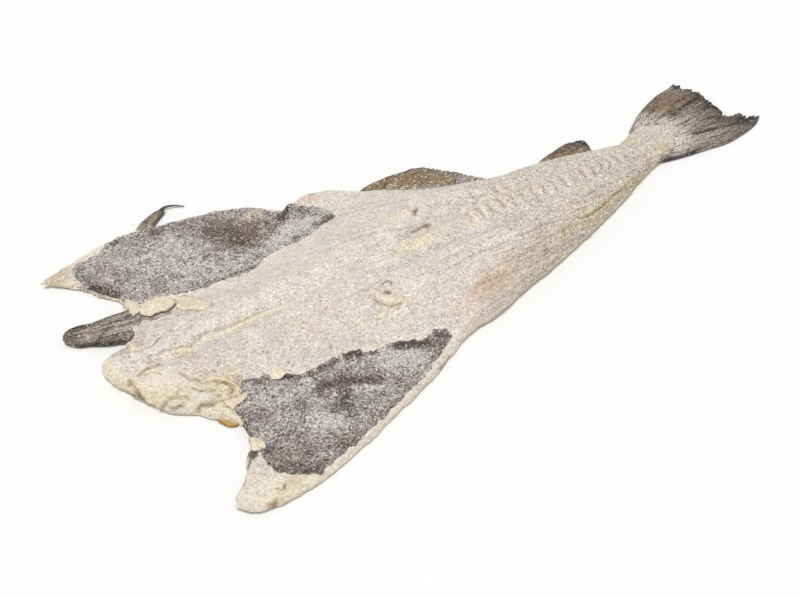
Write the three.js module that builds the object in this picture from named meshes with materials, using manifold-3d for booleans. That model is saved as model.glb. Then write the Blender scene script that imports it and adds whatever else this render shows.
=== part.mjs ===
// A whole salted dried cod, headed, split open along the belly and pressed flat.
// It lies flesh side up on its skin: +X runs from the neck to the tail, +Y to the
// side that carries the anal fins, +Z up. Millimetres.
// The fish is one piece, so it is one solid: the split body with its two thick loins,
// the two thin belly flaps either side of the neck, and the flattened fins.
import * as THREE from 'three';
import { ParametricGeometry } from 'three/addons/geometries/ParametricGeometry.js';
import { mergeVertices } from 'three/addons/utils/BufferGeometryUtils.js';
import Module from 'manifold-3d';

const wasm = await Module();
wasm.setup();

// ---- Driving dimensions ----

// The outline, as stations that smooth curves pass through. x = 0 is the middle of the
// body, where the belly flaps end and the round of the tail half begins.
const FAR_EDGE = [ // [x, y] along the side with the anal fins
  [-264, 143], [-244, 151], [-206, 162.5], [-180, 165], [-154, 161.5], [-120, 155],
  [-84, 145], [-58, 133], [-36, 114], [-20, 117.5], [-4, 120], [12, 114], [38, 92], [70, 71],
  [112, 50],
  [160, 34], [205, 30], [236, 17], [284, 6], [304, 11], [322, 20], [340, 24],
  [358, 25],
];
const NEAR_EDGE = [ // [x, y] along the other side
  [-253, -173], [-243, -184], [-220, -189], [-190, -188], [-150, -179], [-90, -160],
  [-55, -149], [-25, -136], [0, -125], [40, -119], [80, -108], [140, -93], [200, -75],
  [250, -57], [290, -42], [310, -36], [358, -31],
];
// The front is given against the place across, which runs from one flap's tip to the other's
// and is y itself wherever the two edges are as far apart as those tips.
const FRONT_EDGE = [ // [place across, x]
  [-173, -253], [-168, -250], [-158, -247], [-147, -238], [-136, -227], [-124, -220],
  [-114, -210], [-100, -205], [-92, -207], [-79, -219], [-66, -230], [-54, -247], [-40, -255.5],
  [-20, -263], [2, -268.5], [13, -268], [18, -262], [22, -244], [28, -234], [44, -225],
  [58, -217], [68, -215], [78, -219], [92, -227], [106, -234], [118, -242], [128, -251],
  [143, -264],
];
const STEM_EDGE = [ // [share of the way across, x] of the tongue of flesh over the tail fin
  [0, 320], [0.055, 335], [0.11, 345], [0.23, 355], [0.36, 360], [0.5, 360], [0.66, 355],
  [0.79, 345], [0.9, 334], [0.96, 324], [1, 312],
];

// Heights along the fish, as [x, mm].
const FLAP_THICKNESS = [[-268, 7], [-100, 6], [0, 7.5], [60, 10], [200, 9.5], [300, 7], [358, 4]];
const LOIN_HEIGHT = [
  [-268, 11], [-200, 16], [-100, 21], [0, 24], [100, 25], [180, 20], [250, 13], [300, 7],
  [358, 1.5],
];
const SPINE_LINE = [[-268, -20], [0, -17], [150, -12], [290, -14], [358, -6]]; // [x, y]
// Where each loin runs out into the flap, as [x, y], and how far out it starts to fall,
// as a share of the way from the spine to there.
const FAR_LOIN_FOOT = [
  [-268, 26], [-235, 38], [-190, 49], [-120, 47], [-60, 57], [0, 74], [40, 80], [100, 50],
  [160, 33], [220, 24], [290, 14], [358, 24],
];
const NEAR_LOIN_FOOT = [
  [-268, -72], [-180, -72], [-110, -91], [-50, -104], [-20, -118], [40, -150], [358, -80],
];
const FAR_LOIN_CROWN = 0.22;
const NEAR_LOIN_CROWN = 0.4;
const LOIN_RUN_OUT = 1.12; // the same share where it has run out altogether

// The furrow left where the backbone was cut out, and the backbone that is left beside the
// spine line in the tail half. Each fades in or out between two values of x.
const SPINE_GROOVE = { depth: 4, halfWidth: 9, fades: [60, 260] };
const BACKBONE = { height: 3, halfWidth: 7, beside: -13, rises: [20, 60], fades: [260, 320] };

const BELLY_EDGE_RADIUS = 7; // how far in from its edge a flap reaches its full thickness
const NEAR_EDGE_RADIUS = 20; // the same for the sides of the tail half
const FAR_EDGE_RADIUS = 9;
const THICK_SIDES = { rise: [-10, 90], fall: [230, 330], fallShare: 0.6 }; // where those two hold
const NECK_EDGE_RADIUS = 12;
const STEM_EDGE_RADIUS = 16;
const UNDERSIDE_RADIUS = 9; // how far in from its edge the skin side meets the board
const RIM_SHARE = 0.3; // height of the edge itself, as a share of the thickness there
const RIM_LIMIT = 5;

const FLAP_TIP_LIFT = 4; // the dry tips of the flaps curl off the board by this much
const FLAP_TIP_REACH = 45;

// How finely the body is faceted.
const STEPS_ALONG = 62;
const STEPS_ACROSS = 32; // on each side, flesh and skin
const CROWDING = { along: 0.55, across: 0.45 }; // how much closer the steps are at the edges

// ---- Curves and blends ----

// A smooth curve through [position, value] stations. Its slope at a station is that of the
// line between the two neighbours, and it stays level past both ends.
function curve(stations) {
  const at = stations.map((s) => s[0]);
  const value = stations.map((s) => s[1]);
  const last = at.length - 1;
  const slope = at.map((_, i) => {
    const a = Math.max(i - 1, 0);
    const b = Math.min(i + 1, last);
    return (value[b] - value[a]) / (at[b] - at[a]);
  });
  return (position) => {
    const p = THREE.MathUtils.clamp(position, at[0], at[last]);
    const i = Math.min(at.findLastIndex((a) => a <= p), last - 1);
    const span = at[i + 1] - at[i];
    const t = (p - at[i]) / span;
    const rise = value[i + 1] - value[i];
    const bend = (1 - t) * (slope[i] * span - rise) - t * (slope[i + 1] * span - rise);
    return value[i] + rise * t + t * (1 - t) * bend;
  };
}

// Steps from 0 to 1 that are closer together at both ends.
const crowded = (t, share) => (1 - share) * t + share * 0.5 * (1 - Math.cos(Math.PI * t));

// A quarter round: 0 at the edge, 1 from the radius inwards.
function roundOff(distance, radius) {
  const short = 1 - THREE.MathUtils.clamp(distance / radius, 0, 1);
  return Math.sqrt(1 - short * short);
}

const bell = (offset, halfWidth) => Math.exp(-((offset / halfWidth) ** 2));
const rising = (position, [from, to]) => THREE.MathUtils.smoothstep(position, from, to);

// A closed solid from a top and an underside that share their rim. surface(across, along)
// gives { x, y, top, bottom }, with top equal to bottom all round the rim. The point runs
// over the top and back below, so one parametric sheet wraps the whole solid.
function wrapped(surface, stepsAcross, stepsAlong) {
  const place = (around, along, target) => {
    const onTop = around <= 0.5;
    const p = surface(onTop ? 2 * around : 2 - 2 * around, along);
    target.set(p.x, p.y, onTop ? p.top : p.bottom);
  };
  const geometry = new ParametricGeometry(place, 2 * stepsAcross, stepsAlong);
  geometry.deleteAttribute('normal');
  geometry.deleteAttribute('uv');
  const merged = mergeVertices(geometry);
  return new wasm.Manifold(new wasm.Mesh({
    numProp: 3,
    vertProperties: merged.attributes.position.array,
    triVerts: merged.index.array,
  }));
}

// ---- The split body ----

const farEdge = curve(FAR_EDGE);
const nearEdge = curve(NEAR_EDGE);
const frontEdge = curve(FRONT_EDGE);
const stemEdge = curve(STEM_EDGE);
const flapThickness = curve(FLAP_THICKNESS);
const loinHeight = curve(LOIN_HEIGHT);
const spineLine = curve(SPINE_LINE);
const farLoinFoot = curve(FAR_LOIN_FOOT);
const nearLoinFoot = curve(NEAR_LOIN_FOOT);
const [FAR_TIP, NEAR_TIP] = [FAR_EDGE[0], NEAR_EDGE[0]];

// Full thickness of the fish at (x, y), before its edges are rounded: the flap's own
// thickness, the two loins that stand on it, the furrow between them where the backbone
// was cut out, and the stretch of backbone that is left in the tail half.
function fullThickness(x, y) {
  const spine = spineLine(x);
  const [foot, crown] = y > spine
    ? [farLoinFoot(x), FAR_LOIN_CROWN]
    : [nearLoinFoot(x), NEAR_LOIN_CROWN];
  const outward = (y - spine) / (foot - spine);
  const loin = loinHeight(x) * (1 - rising(outward, [crown, LOIN_RUN_OUT]));
  const groove = SPINE_GROOVE.depth * (1 - rising(x, SPINE_GROOVE.fades))
    * bell(y - spine, SPINE_GROOVE.halfWidth);
  const bone = BACKBONE.height * rising(x, BACKBONE.rises) * (1 - rising(x, BACKBONE.fades))
    * bell(y - spine - BACKBONE.beside, BACKBONE.halfWidth);
  return flapThickness(x) + loin - groove + bone;
}

function bodySurface(across, along) {
  const v = crowded(across, CROWDING.across);
  const u = crowded(along, CROWDING.along);
  const front = frontEdge(THREE.MathUtils.lerp(FAR_TIP[1], NEAR_TIP[1], v));
  const back = stemEdge(v);
  const x = THREE.MathUtils.lerp(front, back, u);
  const far = farEdge(x);
  const near = nearEdge(x);
  const y = THREE.MathUtils.lerp(far, near, v);

  // Edge radii grow from the thin flaps to the thick sides of the tail half.
  const thickSide = rising(x, THICK_SIDES.rise)
    * (1 - THICK_SIDES.fallShare * rising(x, THICK_SIDES.fall));
  const edges = [
    [far - y, THREE.MathUtils.lerp(BELLY_EDGE_RADIUS, FAR_EDGE_RADIUS, thickSide)],
    [y - near, THREE.MathUtils.lerp(BELLY_EDGE_RADIUS, NEAR_EDGE_RADIUS, thickSide)],
    [x - front, NECK_EDGE_RADIUS],
    [back - x, STEM_EDGE_RADIUS],
  ];
  const shoulder = edges.reduce((all, [d, radius]) => all * roundOff(d, radius), 1);
  const seated = edges.reduce((all, [d]) => all * roundOff(d, UNDERSIDE_RADIUS), 1);

  const thickness = fullThickness(x, y);
  const rim = Math.min(RIM_SHARE * thickness, RIM_LIMIT);
  const tipDistance = Math.min(
    Math.hypot(x - FAR_TIP[0], y - FAR_TIP[1]),
    Math.hypot(x - NEAR_TIP[0], y - NEAR_TIP[1]),
  );
  const lift = FLAP_TIP_LIFT * Math.max(1 - tipDistance / FLAP_TIP_REACH, 0) ** 2;
  return {
    x,
    y,
    top: lift + rim + (thickness - rim) * shoulder,
    bottom: lift + rim * (1 - seated),
  };
}

// ---- Fins ----

// A flattened fin: rays fan out from points along its root, inside the body, to points
// along its outer edge, both listed clockwise as seen from above. bow pushes the first and
// last ray sideways, and the blade thins from its root to its edge, where it lies lowest.
const FIN_SIDE_ROUND = 0.12; // share of the blade, from each side, that is rounded off
const FIN_END_ROUND = 0.08;

function fin({ root, edge, bow = [0, 0], rootHeight, rootThickness, edgeThickness = 1, steps }) {
  const line = (points) => new THREE.SplineCurve(points.map(([x, y]) => new THREE.Vector2(x, y)));
  const rootLine = line(root);
  const edgeLine = line(edge);
  const surface = (across, along) => {
    const start = rootLine.getPoint(across);
    const end = edgeLine.getPoint(across);
    const ray = end.clone().sub(start);
    const sideways = new THREE.Vector2(-ray.y, ray.x).normalize();
    const push = THREE.MathUtils.lerp(bow[0], bow[1], across) * 4 * along * (1 - along);
    const p = start.lerp(end, along).addScaledVector(sideways, push);
    const middle = THREE.MathUtils.lerp(rootHeight, edgeThickness, along);
    const full = THREE.MathUtils.lerp(rootThickness, edgeThickness, along);
    const rounded = Math.sqrt(roundOff(Math.min(across, 1 - across), FIN_SIDE_ROUND)
      * roundOff(Math.min(along, 1 - along), FIN_END_ROUND));
    const half = 0.5 * full * rounded;
    return { x: p.x, y: p.y, top: middle + half, bottom: middle - half };
  };
  return wrapped(surface, ...steps);
}

const FINS = {
  tail: {
    root: [[314, 12], [331, 5], [335, -7], [330, -21], [312, -36]],
    edge: [[426, 64], [432, 46], [433, 28], [432, 8], [427, -11], [445, -21], [453, -35]],
    bow: [9, -15],
    rootHeight: 3.2,
    rootThickness: 4,
    edgeThickness: 1.2,
    steps: [14, 9],
  },
  analFirst: {
    root: [[36, 86], [75, 60], [115, 41], [152, 26]],
    edge: [[36, 99], [57, 101], [80, 100], [103, 98], [118, 90], [133, 76], [143, 58], [156, 39]],
    rootHeight: 4.5,
    rootThickness: 3.2,
    steps: [12, 5],
  },
  analSecond: {
    root: [[208, 20], [236, 9], [268, 0]],
    edge: [[208, 31], [222, 39.5], [237, 44], [250, 46], [263, 44.5], [275, 40.5], [276, 31], [269, 15]],
    rootHeight: 4.5,
    rootThickness: 3,
    steps: [10, 4],
  },
  pectoral: {
    root: [[-228, 32], [-214, 52], [-207, 66]],
    edge: [[-272, 55], [-278, 64], [-272, 76]],
    bow: [-1, 2],
    rootHeight: 5,
    rootThickness: 4,
    edgeThickness: 1.2,
    steps: [6, 6],
  },
  pelvic: {
    root: [[-167, 160], [-161, 159], [-155, 157]],
    edge: [[-130, 184], [-125, 185], [-121, 183]],
    bow: [3, -2],
    rootHeight: 3.5,
    rootThickness: 3,
    steps: [4, 6],
  },
};

// ---- One solid, with its origin under the middle of its box ----

const body = wrapped(bodySurface, STEPS_ACROSS, STEPS_ALONG);
const whole = Object.values(FINS).reduce((solid, shape) => solid.add(fin(shape)), body);
const facets = whole.getMesh();

const geometry = new THREE.BufferGeometry();
geometry.setAttribute('position', new THREE.BufferAttribute(facets.vertProperties, 3));
geometry.setIndex(new THREE.BufferAttribute(facets.triVerts, 1));
geometry.computeVertexNormals();
geometry.computeBoundingBox();

const { min, max } = geometry.boundingBox;
const fish = new THREE.Mesh(
  geometry,
  new THREE.MeshStandardMaterial({ color: 0xddd4c8, roughness: 0.85, metalness: 0 }),
);
fish.name = 'salted_cod';
fish.position.set(-(min.x + max.x) / 2, -(min.y + max.y) / 2, -min.z);

const group = new THREE.Group();
group.add(fish);

export default group;
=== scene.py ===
import bpy
import numpy as np
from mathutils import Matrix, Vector


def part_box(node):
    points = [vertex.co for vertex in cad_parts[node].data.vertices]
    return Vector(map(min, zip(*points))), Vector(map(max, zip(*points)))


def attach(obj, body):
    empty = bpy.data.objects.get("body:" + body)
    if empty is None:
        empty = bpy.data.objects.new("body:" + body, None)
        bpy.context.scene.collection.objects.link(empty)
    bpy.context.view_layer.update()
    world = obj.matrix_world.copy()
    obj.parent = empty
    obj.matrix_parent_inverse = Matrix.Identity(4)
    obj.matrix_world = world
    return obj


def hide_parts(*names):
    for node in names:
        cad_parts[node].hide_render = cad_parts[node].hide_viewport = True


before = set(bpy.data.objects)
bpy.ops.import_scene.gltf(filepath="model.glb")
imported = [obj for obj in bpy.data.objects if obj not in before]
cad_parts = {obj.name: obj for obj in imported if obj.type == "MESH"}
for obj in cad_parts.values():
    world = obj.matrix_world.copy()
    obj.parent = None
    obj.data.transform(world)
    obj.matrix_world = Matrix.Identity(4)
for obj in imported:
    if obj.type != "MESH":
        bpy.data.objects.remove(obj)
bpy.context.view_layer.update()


# ---- The split body's flesh side ----
# The fish itself: headed, split along the belly, opened flat like a book, salted and dried.
# Two thick loins of dried muscle lie either side of the cut-out backbone, and the thin belly
# flaps reach forward past the neck. Millimetres, +X to the tail, +Y to the anal fins.

FISH_LOW = np.array([-278.0, -189.35, 0.0])  # pectoral tip, near edge and board
PLACE = np.array([c * 1000 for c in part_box("salted_cod")[0]]) - FISH_LOW

FAR_EDGE = [  # [x, y] along the side with the anal fins
    [-264, 143], [-244, 151], [-206, 162.5], [-180, 165], [-154, 161.5], [-120, 155],
    [-84, 145], [-58, 133], [-36, 114], [-20, 117.5], [-4, 120], [12, 114], [38, 92], [70, 71], [112, 50],
    [160, 34], [205, 30], [236, 17], [284, 6], [304, 11], [322, 20], [340, 24],
    [358, 25],
]
NEAR_EDGE = [  # [x, y] along the other side
    [-253, -173], [-243, -184], [-220, -189], [-190, -188], [-150, -179], [-90, -160],
    [-55, -149], [-25, -136], [0, -125], [40, -119], [80, -108], [140, -93], [200, -75],
    [250, -57], [290, -42], [310, -36], [358, -31],
]
FRONT_EDGE = [  # [place across, x] from one flap's tip, round the neck, to the other's
    [-173, -253], [-168, -250], [-158, -247], [-147, -238], [-136, -227], [-124, -220],
    [-114, -210], [-100, -205], [-92, -207], [-79, -219], [-66, -230], [-54, -247], [-40, -255.5],
    [-20, -263], [2, -268.5], [13, -268], [18, -262], [22, -244], [28, -234], [44, -225],
    [58, -217], [68, -215], [78, -219], [92, -227], [106, -234], [118, -242], [128, -251],
    [143, -264],
]
STEM_EDGE = [  # [share across, x] of the tongue of flesh over the tail fin
    [0, 312], [0.04, 324], [0.1, 334], [0.21, 345], [0.34, 355], [0.5, 360], [0.64, 360],
    [0.77, 355], [0.89, 345], [0.945, 335], [1, 320],
]
FLAP_THICKNESS = [[-268, 7], [-100, 6], [0, 7.5], [60, 10], [200, 9.5], [300, 7], [358, 4]]
LOIN_HEIGHT = [
    [-268, 11], [-200, 16], [-100, 21], [0, 24], [100, 25], [180, 20], [250, 13], [300, 7],
    [358, 1.5],
]
SPINE_LINE = [[-268, -20], [0, -17], [150, -12], [290, -14], [358, -6]]
FAR_LOIN_FOOT = [
    [-268, 26], [-235, 38], [-190, 49], [-120, 47], [-60, 57], [0, 74], [40, 80], [100, 50],
    [160, 33], [220, 24], [290, 14], [358, 24],
]
NEAR_LOIN_FOOT = [
    [-268, -72], [-180, -72], [-110, -91], [-50, -104], [-20, -118], [40, -150], [358, -80],
]
FAR_LOIN_CROWN = 0.22
NEAR_LOIN_CROWN = 0.4
LOIN_RUN_OUT = 1.12
GROOVE_DEPTH = 4
GROOVE_HALF_WIDTH = 9
GROOVE_ENDS = (60, 260)  # it runs out between these places along X
BONE_HEIGHT = 3
BONE_HALF_WIDTH = 7
BONE_BESIDE = -13
BONE_BEGINS = (20, 60)  # it rises and runs out between these places along X
BONE_ENDS = (260, 320)
BELLY_EDGE_RADIUS = 7
NEAR_EDGE_RADIUS = 20
FAR_EDGE_RADIUS = 9
NECK_EDGE_RADIUS = 12
STEM_EDGE_RADIUS = 16
UNDERSIDE_RADIUS = 9
THICK_SIDE_BEGINS = (-10, 90)  # where the thin belly's edge becomes the thick tail half's
THICK_SIDE_ENDS = (230, 330)
THICK_SIDE_LOSS = 0.6
RIM_SHARE = 0.3
RIM_LIMIT = 5
FLAP_TIP_LIFT = 4
FLAP_TIP_REACH = 45


def curve(stations):
    """A smooth line through [position, value] stations: a cubic between each two, whose slope
    at a station is that of the line between its neighbours, level past both ends."""
    at, value = np.array(stations, float).T
    index = np.arange(len(at))
    before, after = np.maximum(index - 1, 0), np.minimum(index + 1, len(at) - 1)
    slope = (value[after] - value[before]) / (at[after] - at[before])

    def read(position):
        """The line's value at each position."""
        p = np.clip(position, at[0], at[-1])
        k = np.clip(np.searchsorted(at, p, side="right") - 1, 0, len(at) - 2)
        span, rise = at[k + 1] - at[k], value[k + 1] - value[k]
        t = (p - at[k]) / span
        bend = (1 - t) * (slope[k] * span - rise) - t * (slope[k + 1] * span - rise)
        return value[k] + rise * t + t * (1 - t) * bend

    return read


def blend(a, b, share):
    """a where share is 0, b where it is 1, a straight mix between."""
    return a + (b - a) * share


def rising(position, low, high):
    """0 below low, 1 above high, and a smooth S between."""
    t = np.clip((position - low) / (high - low), 0, 1)
    return t * t * (3 - 2 * t)


def bell(offset, half_width):
    """1 in the middle, falling off as a bell curve."""
    return np.exp(-((offset / half_width) ** 2))


def round_off(distance, radius):
    """A quarter round: 0 at the edge, 1 from the radius inwards."""
    short = 1 - np.clip(distance / radius, 0, 1)
    return np.sqrt(1 - short * short)


LATTICE = 256  # cells before the random waves repeat
OCTAVE_SHIFT = (17.3, 9.1)  # keeps the octaves' lattices apart
WAVE_GAIN = 1.5  # brings gradient noise to about -1 to 1


def waves(x, y, size, seed, octaves=3):
    """Random waves about size long, between about -1 and 1: gradient noise on a square
    lattice, each octave half as long and half as high as the one before."""
    turn = np.random.default_rng(seed).random((LATTICE, LATTICE)) * 2 * np.pi
    east, north = np.cos(turn), np.sin(turn)
    total = 0
    for octave in range(octaves):
        px = x / size * 2**octave + OCTAVE_SHIFT[0] * octave
        py = y / size * 2**octave + OCTAVE_SHIFT[1] * octave
        i, j = np.floor(px).astype(int), np.floor(py).astype(int)
        fx, fy = px - i, py - j

        def corner(a, b):
            """The slope drawn for a corner of the cell, times the way from it."""
            ci, cj = (i + a) % LATTICE, (j + b) % LATTICE
            return east[ci, cj] * (fx - a) + north[ci, cj] * (fy - b)

        sx = fx**3 * (fx * (fx * 6 - 15) + 10)
        sy = fy**3 * (fy * (fy * 6 - 15) + 10)
        low = blend(corner(0, 0), corner(1, 0), sx)
        high = blend(corner(0, 1), corner(1, 1), sx)
        total = total + blend(low, high, sy) * WAVE_GAIN / 2**octave
    return total


def shaken(x, y, shift, size, seed, at=None):
    """Places moved by up to about shift along X and Y by two sets of random waves, which are
    read at other places if at gives them: what is drawn there gets uneven outlines."""
    where = at or (x, y)
    return x + shift * waves(*where, size, seed), y + shift * waves(*where, size, seed + 1)


def smooth_line(points, steps=6):
    """Points of a smooth curve through the given ones, worked out for each coordinate by
    curve() over the distance along them."""
    points = np.array(points, float)
    run = np.r_[0, np.cumsum(np.hypot(*np.diff(points[:, :2], axis=0).T))]
    at = np.interp(np.linspace(0, len(run) - 1, steps * (len(run) - 1) + 1),
                   np.arange(len(run)), run)
    return np.stack([curve(np.c_[run, column])(at) for column in points.T], 1)


def beside(x, y, points, reach):
    """How far each place is from a smooth line through the points, up to reach, positive on
    its left, and how far along the line it is, from 0 to 1."""
    line = smooth_line(points)
    low, high = line.min(0) - reach, line.max(0) + reach
    across, along = np.full(x.shape, float(reach)), np.zeros(x.shape)
    inside = (x > low[0]) & (x < high[0]) & (y > low[1]) & (y < high[1])
    px, py = x[inside], y[inside]
    best = np.full(px.shape, float(reach) ** 2)
    signed, run = np.full(px.shape, float(reach)), np.zeros(px.shape)
    for k, (start, step) in enumerate(zip(line[:-1], np.diff(line, axis=0))):
        ox, oy = px - start[0], py - start[1]
        t = np.clip((ox * step[0] + oy * step[1]) / (step @ step), 0, 1)
        far_off = (ox - t * step[0]) ** 2 + (oy - t * step[1]) ** 2
        closer = far_off < best
        best = np.where(closer, far_off, best)
        side = np.where(step[0] * oy - step[1] * ox >= 0, 1, -1)
        signed = np.where(closer, side * np.sqrt(far_off), signed)
        run = np.where(closer, (k + t) / (len(line) - 1), run)
    across[inside], along[inside] = signed, run
    return across, along


def band(x, y, points, half_width):
    """A soft stripe along a line, 1 in its middle, that fades out at both ends."""
    across, along = beside(x, y, points, 3 * half_width)
    return bell(across, half_width) * rising(np.minimum(along, 1 - along), -0.04, 0.12)


def patch(x, y, middle_x, middle_y, half_long, half_wide, turn):
    """A soft oval, 1 in its middle, turned by so many degrees."""
    c, s = np.cos(np.radians(turn)), np.sin(np.radians(turn))
    a = (x - middle_x) * c + (y - middle_y) * s
    b = (y - middle_y) * c - (x - middle_x) * s
    return np.exp(-((a / half_long) ** 2) - (b / half_wide) ** 2)


def marks(x, y, bands, patches):
    """The sum of stripes (points, half width, strength) and ovals (x, y, half length, half
    width, turn, strength)."""
    total = np.zeros(x.shape)
    for points, half_width, strength in bands:
        total += strength * band(x, y, points, half_width)
    for *place, strength in patches:
        total += strength * patch(x, y, *place)
    return total


# The edges dried ragged: small waves are added to each smooth outline.
smooth_far, smooth_near, smooth_front = map(curve, (FAR_EDGE, NEAR_EDGE, FRONT_EDGE))
stem_edge = curve(STEM_EDGE)


def far_edge(x):
    """The smooth line with waves about 14 mm long, none at the flap's tip."""
    return smooth_far(x) + 1.1 * waves(x, 0 * x, 14, 1) * rising(x, -262, -235)


def near_edge(x):
    """The smooth line with waves about 16 mm long, none at the flap's tip."""
    return smooth_near(x) + 0.9 * waves(x, 0 * x + 9, 16, 2) * rising(x, -252, -230)


def front_edge(y):
    """The smooth line with waves about 9 mm long, none at both flaps' tips."""
    return smooth_front(y) + 1.3 * waves(y, 0 * y + 5, 9, 3) * rising(173 - np.abs(y), 10, 45)


flap_thickness, loin_height, spine_line = map(curve, (FLAP_THICKNESS, LOIN_HEIGHT, SPINE_LINE))
far_loin_foot, near_loin_foot = curve(FAR_LOIN_FOOT), curve(NEAR_LOIN_FOOT)


def insets(x, y):
    """How far in each place is from the far, near, neck and tail edges, the last two along X."""
    far, near = far_edge(x), near_edge(x)
    share = (y - near) / (far - near)
    front = front_edge(blend(NEAR_EDGE[0][1], FAR_EDGE[0][1], share))
    return far - y, y - near, x - front, stem_edge(share) - x


def full_thickness(x, y):
    """The flap's own thickness, the two loins that stand on it, the furrow between them where
    the backbone was cut out, and the stretch of backbone that is left in the tail half."""
    spine = spine_line(x)
    foot = np.where(y > spine, far_loin_foot(x), near_loin_foot(x))
    crown = np.where(y > spine, FAR_LOIN_CROWN, NEAR_LOIN_CROWN)
    outward = np.clip((y - spine) / (foot - spine), crown, LOIN_RUN_OUT)
    loin = loin_height(x) * (1 - rising((outward - crown) / (LOIN_RUN_OUT - crown), 0, 1))
    groove = GROOVE_DEPTH * (1 - rising(x, *GROOVE_ENDS)) * bell(y - spine, GROOVE_HALF_WIDTH)
    bone = BONE_HEIGHT * rising(x, *BONE_BEGINS) * (1 - rising(x, *BONE_ENDS))
    return flap_thickness(x) + loin - groove + bone * bell(y - spine - BONE_BESIDE, BONE_HALF_WIDTH)


def edge_form(x, y):
    """The full thickness, the rim's height, how much of the thickness above the rim is left by
    the rounding across and along the fish, how much of the underside meets the board, and the
    lift of the flaps' tips."""
    insets_here = [np.maximum(d, 0) for d in insets(x, y)]
    far_in, near_in, front_in, back_in = insets_here
    thick_side = rising(x, *THICK_SIDE_BEGINS) * (1 - THICK_SIDE_LOSS * rising(x, *THICK_SIDE_ENDS))
    across = (round_off(far_in, blend(BELLY_EDGE_RADIUS, FAR_EDGE_RADIUS, thick_side))
              * round_off(near_in, blend(BELLY_EDGE_RADIUS, NEAR_EDGE_RADIUS, thick_side)))
    along = round_off(front_in, NECK_EDGE_RADIUS) * round_off(back_in, STEM_EDGE_RADIUS)
    seated = np.prod([round_off(inset, UNDERSIDE_RADIUS) for inset in insets_here], 0)
    thickness = full_thickness(x, y)
    rim = np.minimum(RIM_SHARE * thickness, RIM_LIMIT)
    tip = np.minimum(np.hypot(x - FAR_EDGE[0][0], y - FAR_EDGE[0][1]),
                     np.hypot(x - NEAR_EDGE[0][0], y - NEAR_EDGE[0][1]))
    lift = FLAP_TIP_LIFT * np.maximum(1 - tip / FLAP_TIP_REACH, 0) ** 2
    return thickness, rim, across, along, seated, lift


def plain_heights(x, y):
    """Height of the flesh side and of the underside before any relief. The thickness is
    rounded off towards each edge, down to a rim that both sides share."""
    thickness, rim, across, along, seated, lift = edge_form(x, y)
    return lift + rim + (thickness - rim) * across * along, lift + rim * (1 - seated)


def over_rim(x, y):
    """How far the flesh side stands above the rim, before any relief."""
    thickness, rim, across, along = edge_form(x, y)[:4]
    return (thickness - rim) * across * along


# What stands out of the flesh or is sunk into it, as stripes and ovals with their height.
# The lines that have names are both raised or sunk here and stained below.
SCAR = [
    [-237, -12], [-221, -15], [-213, -16], [-200, -19.5], [-188, -16], [-180, -17], [-168, -19],
    [-154, -20.5], [-138, -21], [-105, -24],
]
BONE_LINE = [[60, -30], [100, -31], [150, -33], [205, -31.5], [250, -25], [276, -21], [300, -14]]
SECOND_ROW = [[84, -4], [110, -5], [138, -10], [165, -15]]
BACK_CREASE = [[128, -86], [165, -79], [195, -71.5], [215, -65], [250, -54], [300, -38]]
LONG_FOLDS = [
    [[-5, 77], [20, 58], [43, 40], [85, 18], [128, 1], [170, -4]],
    [[-40, 20], [-15, 11], [26, -7]],
    [[9, -59], [50, -62], [88, -63], [130, -63], [167, -61], [210, -56], [255, -49]],
    [[15, -72], [52, -73], [106, -76], [150, -72]],
    [[16, -99], [50, -101], [87, -100], [144, -89]],
    [[-90, -48], [-50, -50], [-20, -46]],
]
NECK_CREASE = [[-259, -16], [-257, -22], [-258, -28], [-258, -32.5], [-257.5, -37]]
NECK_FOLDS = [
    [[-251, -17.6], [-245.5, -17.3], [-239, -16.6], [-232.7, -17], [-227, -22]],
    [[-246, -21.7], [-239.3, -24.6], [-235.4, -31.3]],
    [[-255.6, -36.5], [-251, -46.4], [-247, -53], [-239, -54.3], [-229.4, -58.6], [-227, -63.7]],
    [[-243.6, -58], [-237.6, -60.4], [-232.8, -64]],
    [[-224, -37], [-221, -44.5], [-217, -50], [-212, -53.5]],
    [[-222, -53.8], [-217.5, -58], [-211.4, -61.5], [-206.5, -65]],
    [[-208, -56.6], [-200, -58.4], [-194.3, -63], [-190, -67.7], [-191, -72.6]],
    [[-210, -71.5], [-204, -75], [-197.4, -75.6], [-191.7, -76.8]],
    [[-230, -48], [-232.3, -52.4], [-233.8, -54]],
]
# Just below each neck fold, on its near side: sunk into the flesh, and drawn brown there as painted shadow
# under the fold.
FOLD_CREASES = [[[x - 1.2, y - 1.8] for x, y in fold] for fold in NECK_FOLDS]
MIDDLE_LIP = [[-44, -57], [-48, -62], [-47, -68], [-42, -72], [-36, -75], [-30, -75]]
MIDDLE_HOLE = [[-41, -62], [-38.5, -63], [-37, -67]]
LIP_RIM = [[-52, -63], [-50, -68.5], [-45.5, -73.5], [-40, -77.5], [-34, -79]]
LIP_SLIT = [[-37, -53], [-32, -52], [-29.5, -54], [-30, -58]]
NOTCH_STRIP = [
    [-216, -78], [-210, -84], [-207, -94], [-204, -101], [-204, -111], [-207, -121], [-211, -129],
]
COLLAR_FOLDS = [[-208, -59], [-201, -61], [-196, -65], [-191.5, -71], [-193, -77]]
COLLAR_CREASE = [[-206, -58], [-197, -64], [-193, -72]]
GOLD_HOLE = [[-227, -71.5], [-221.5, -71], [-216, -73.5], [-212, -73.5]]
TIP_FOLD = [[-220.5, -177], [-215, -181.5], [-211.5, -178]]
CREASE_BESIDE = 4
VERTEBRA_PITCH = 12.3
FIRST_VERTEBRA = 92
CUSHION_SHRINK = 2.1  # how much shorter a cushion is than the pitch
BONE_CUSHION = 1.6
SECOND_CUSHION = 0.8
MUSCLE_PITCH = 11.5
MUSCLE_SLANT = 0.55
STREAK_HEIGHT = 0.55
BELLY_ROLL = 0.9
NEAR_ROLL = 1.2
FLESH_WAVES = [(0.9, 34, 11, 2), (0.35, 11, 12, 3), (0.2, 3.6, 13, 2)]  # height, length, seed, octaves
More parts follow.
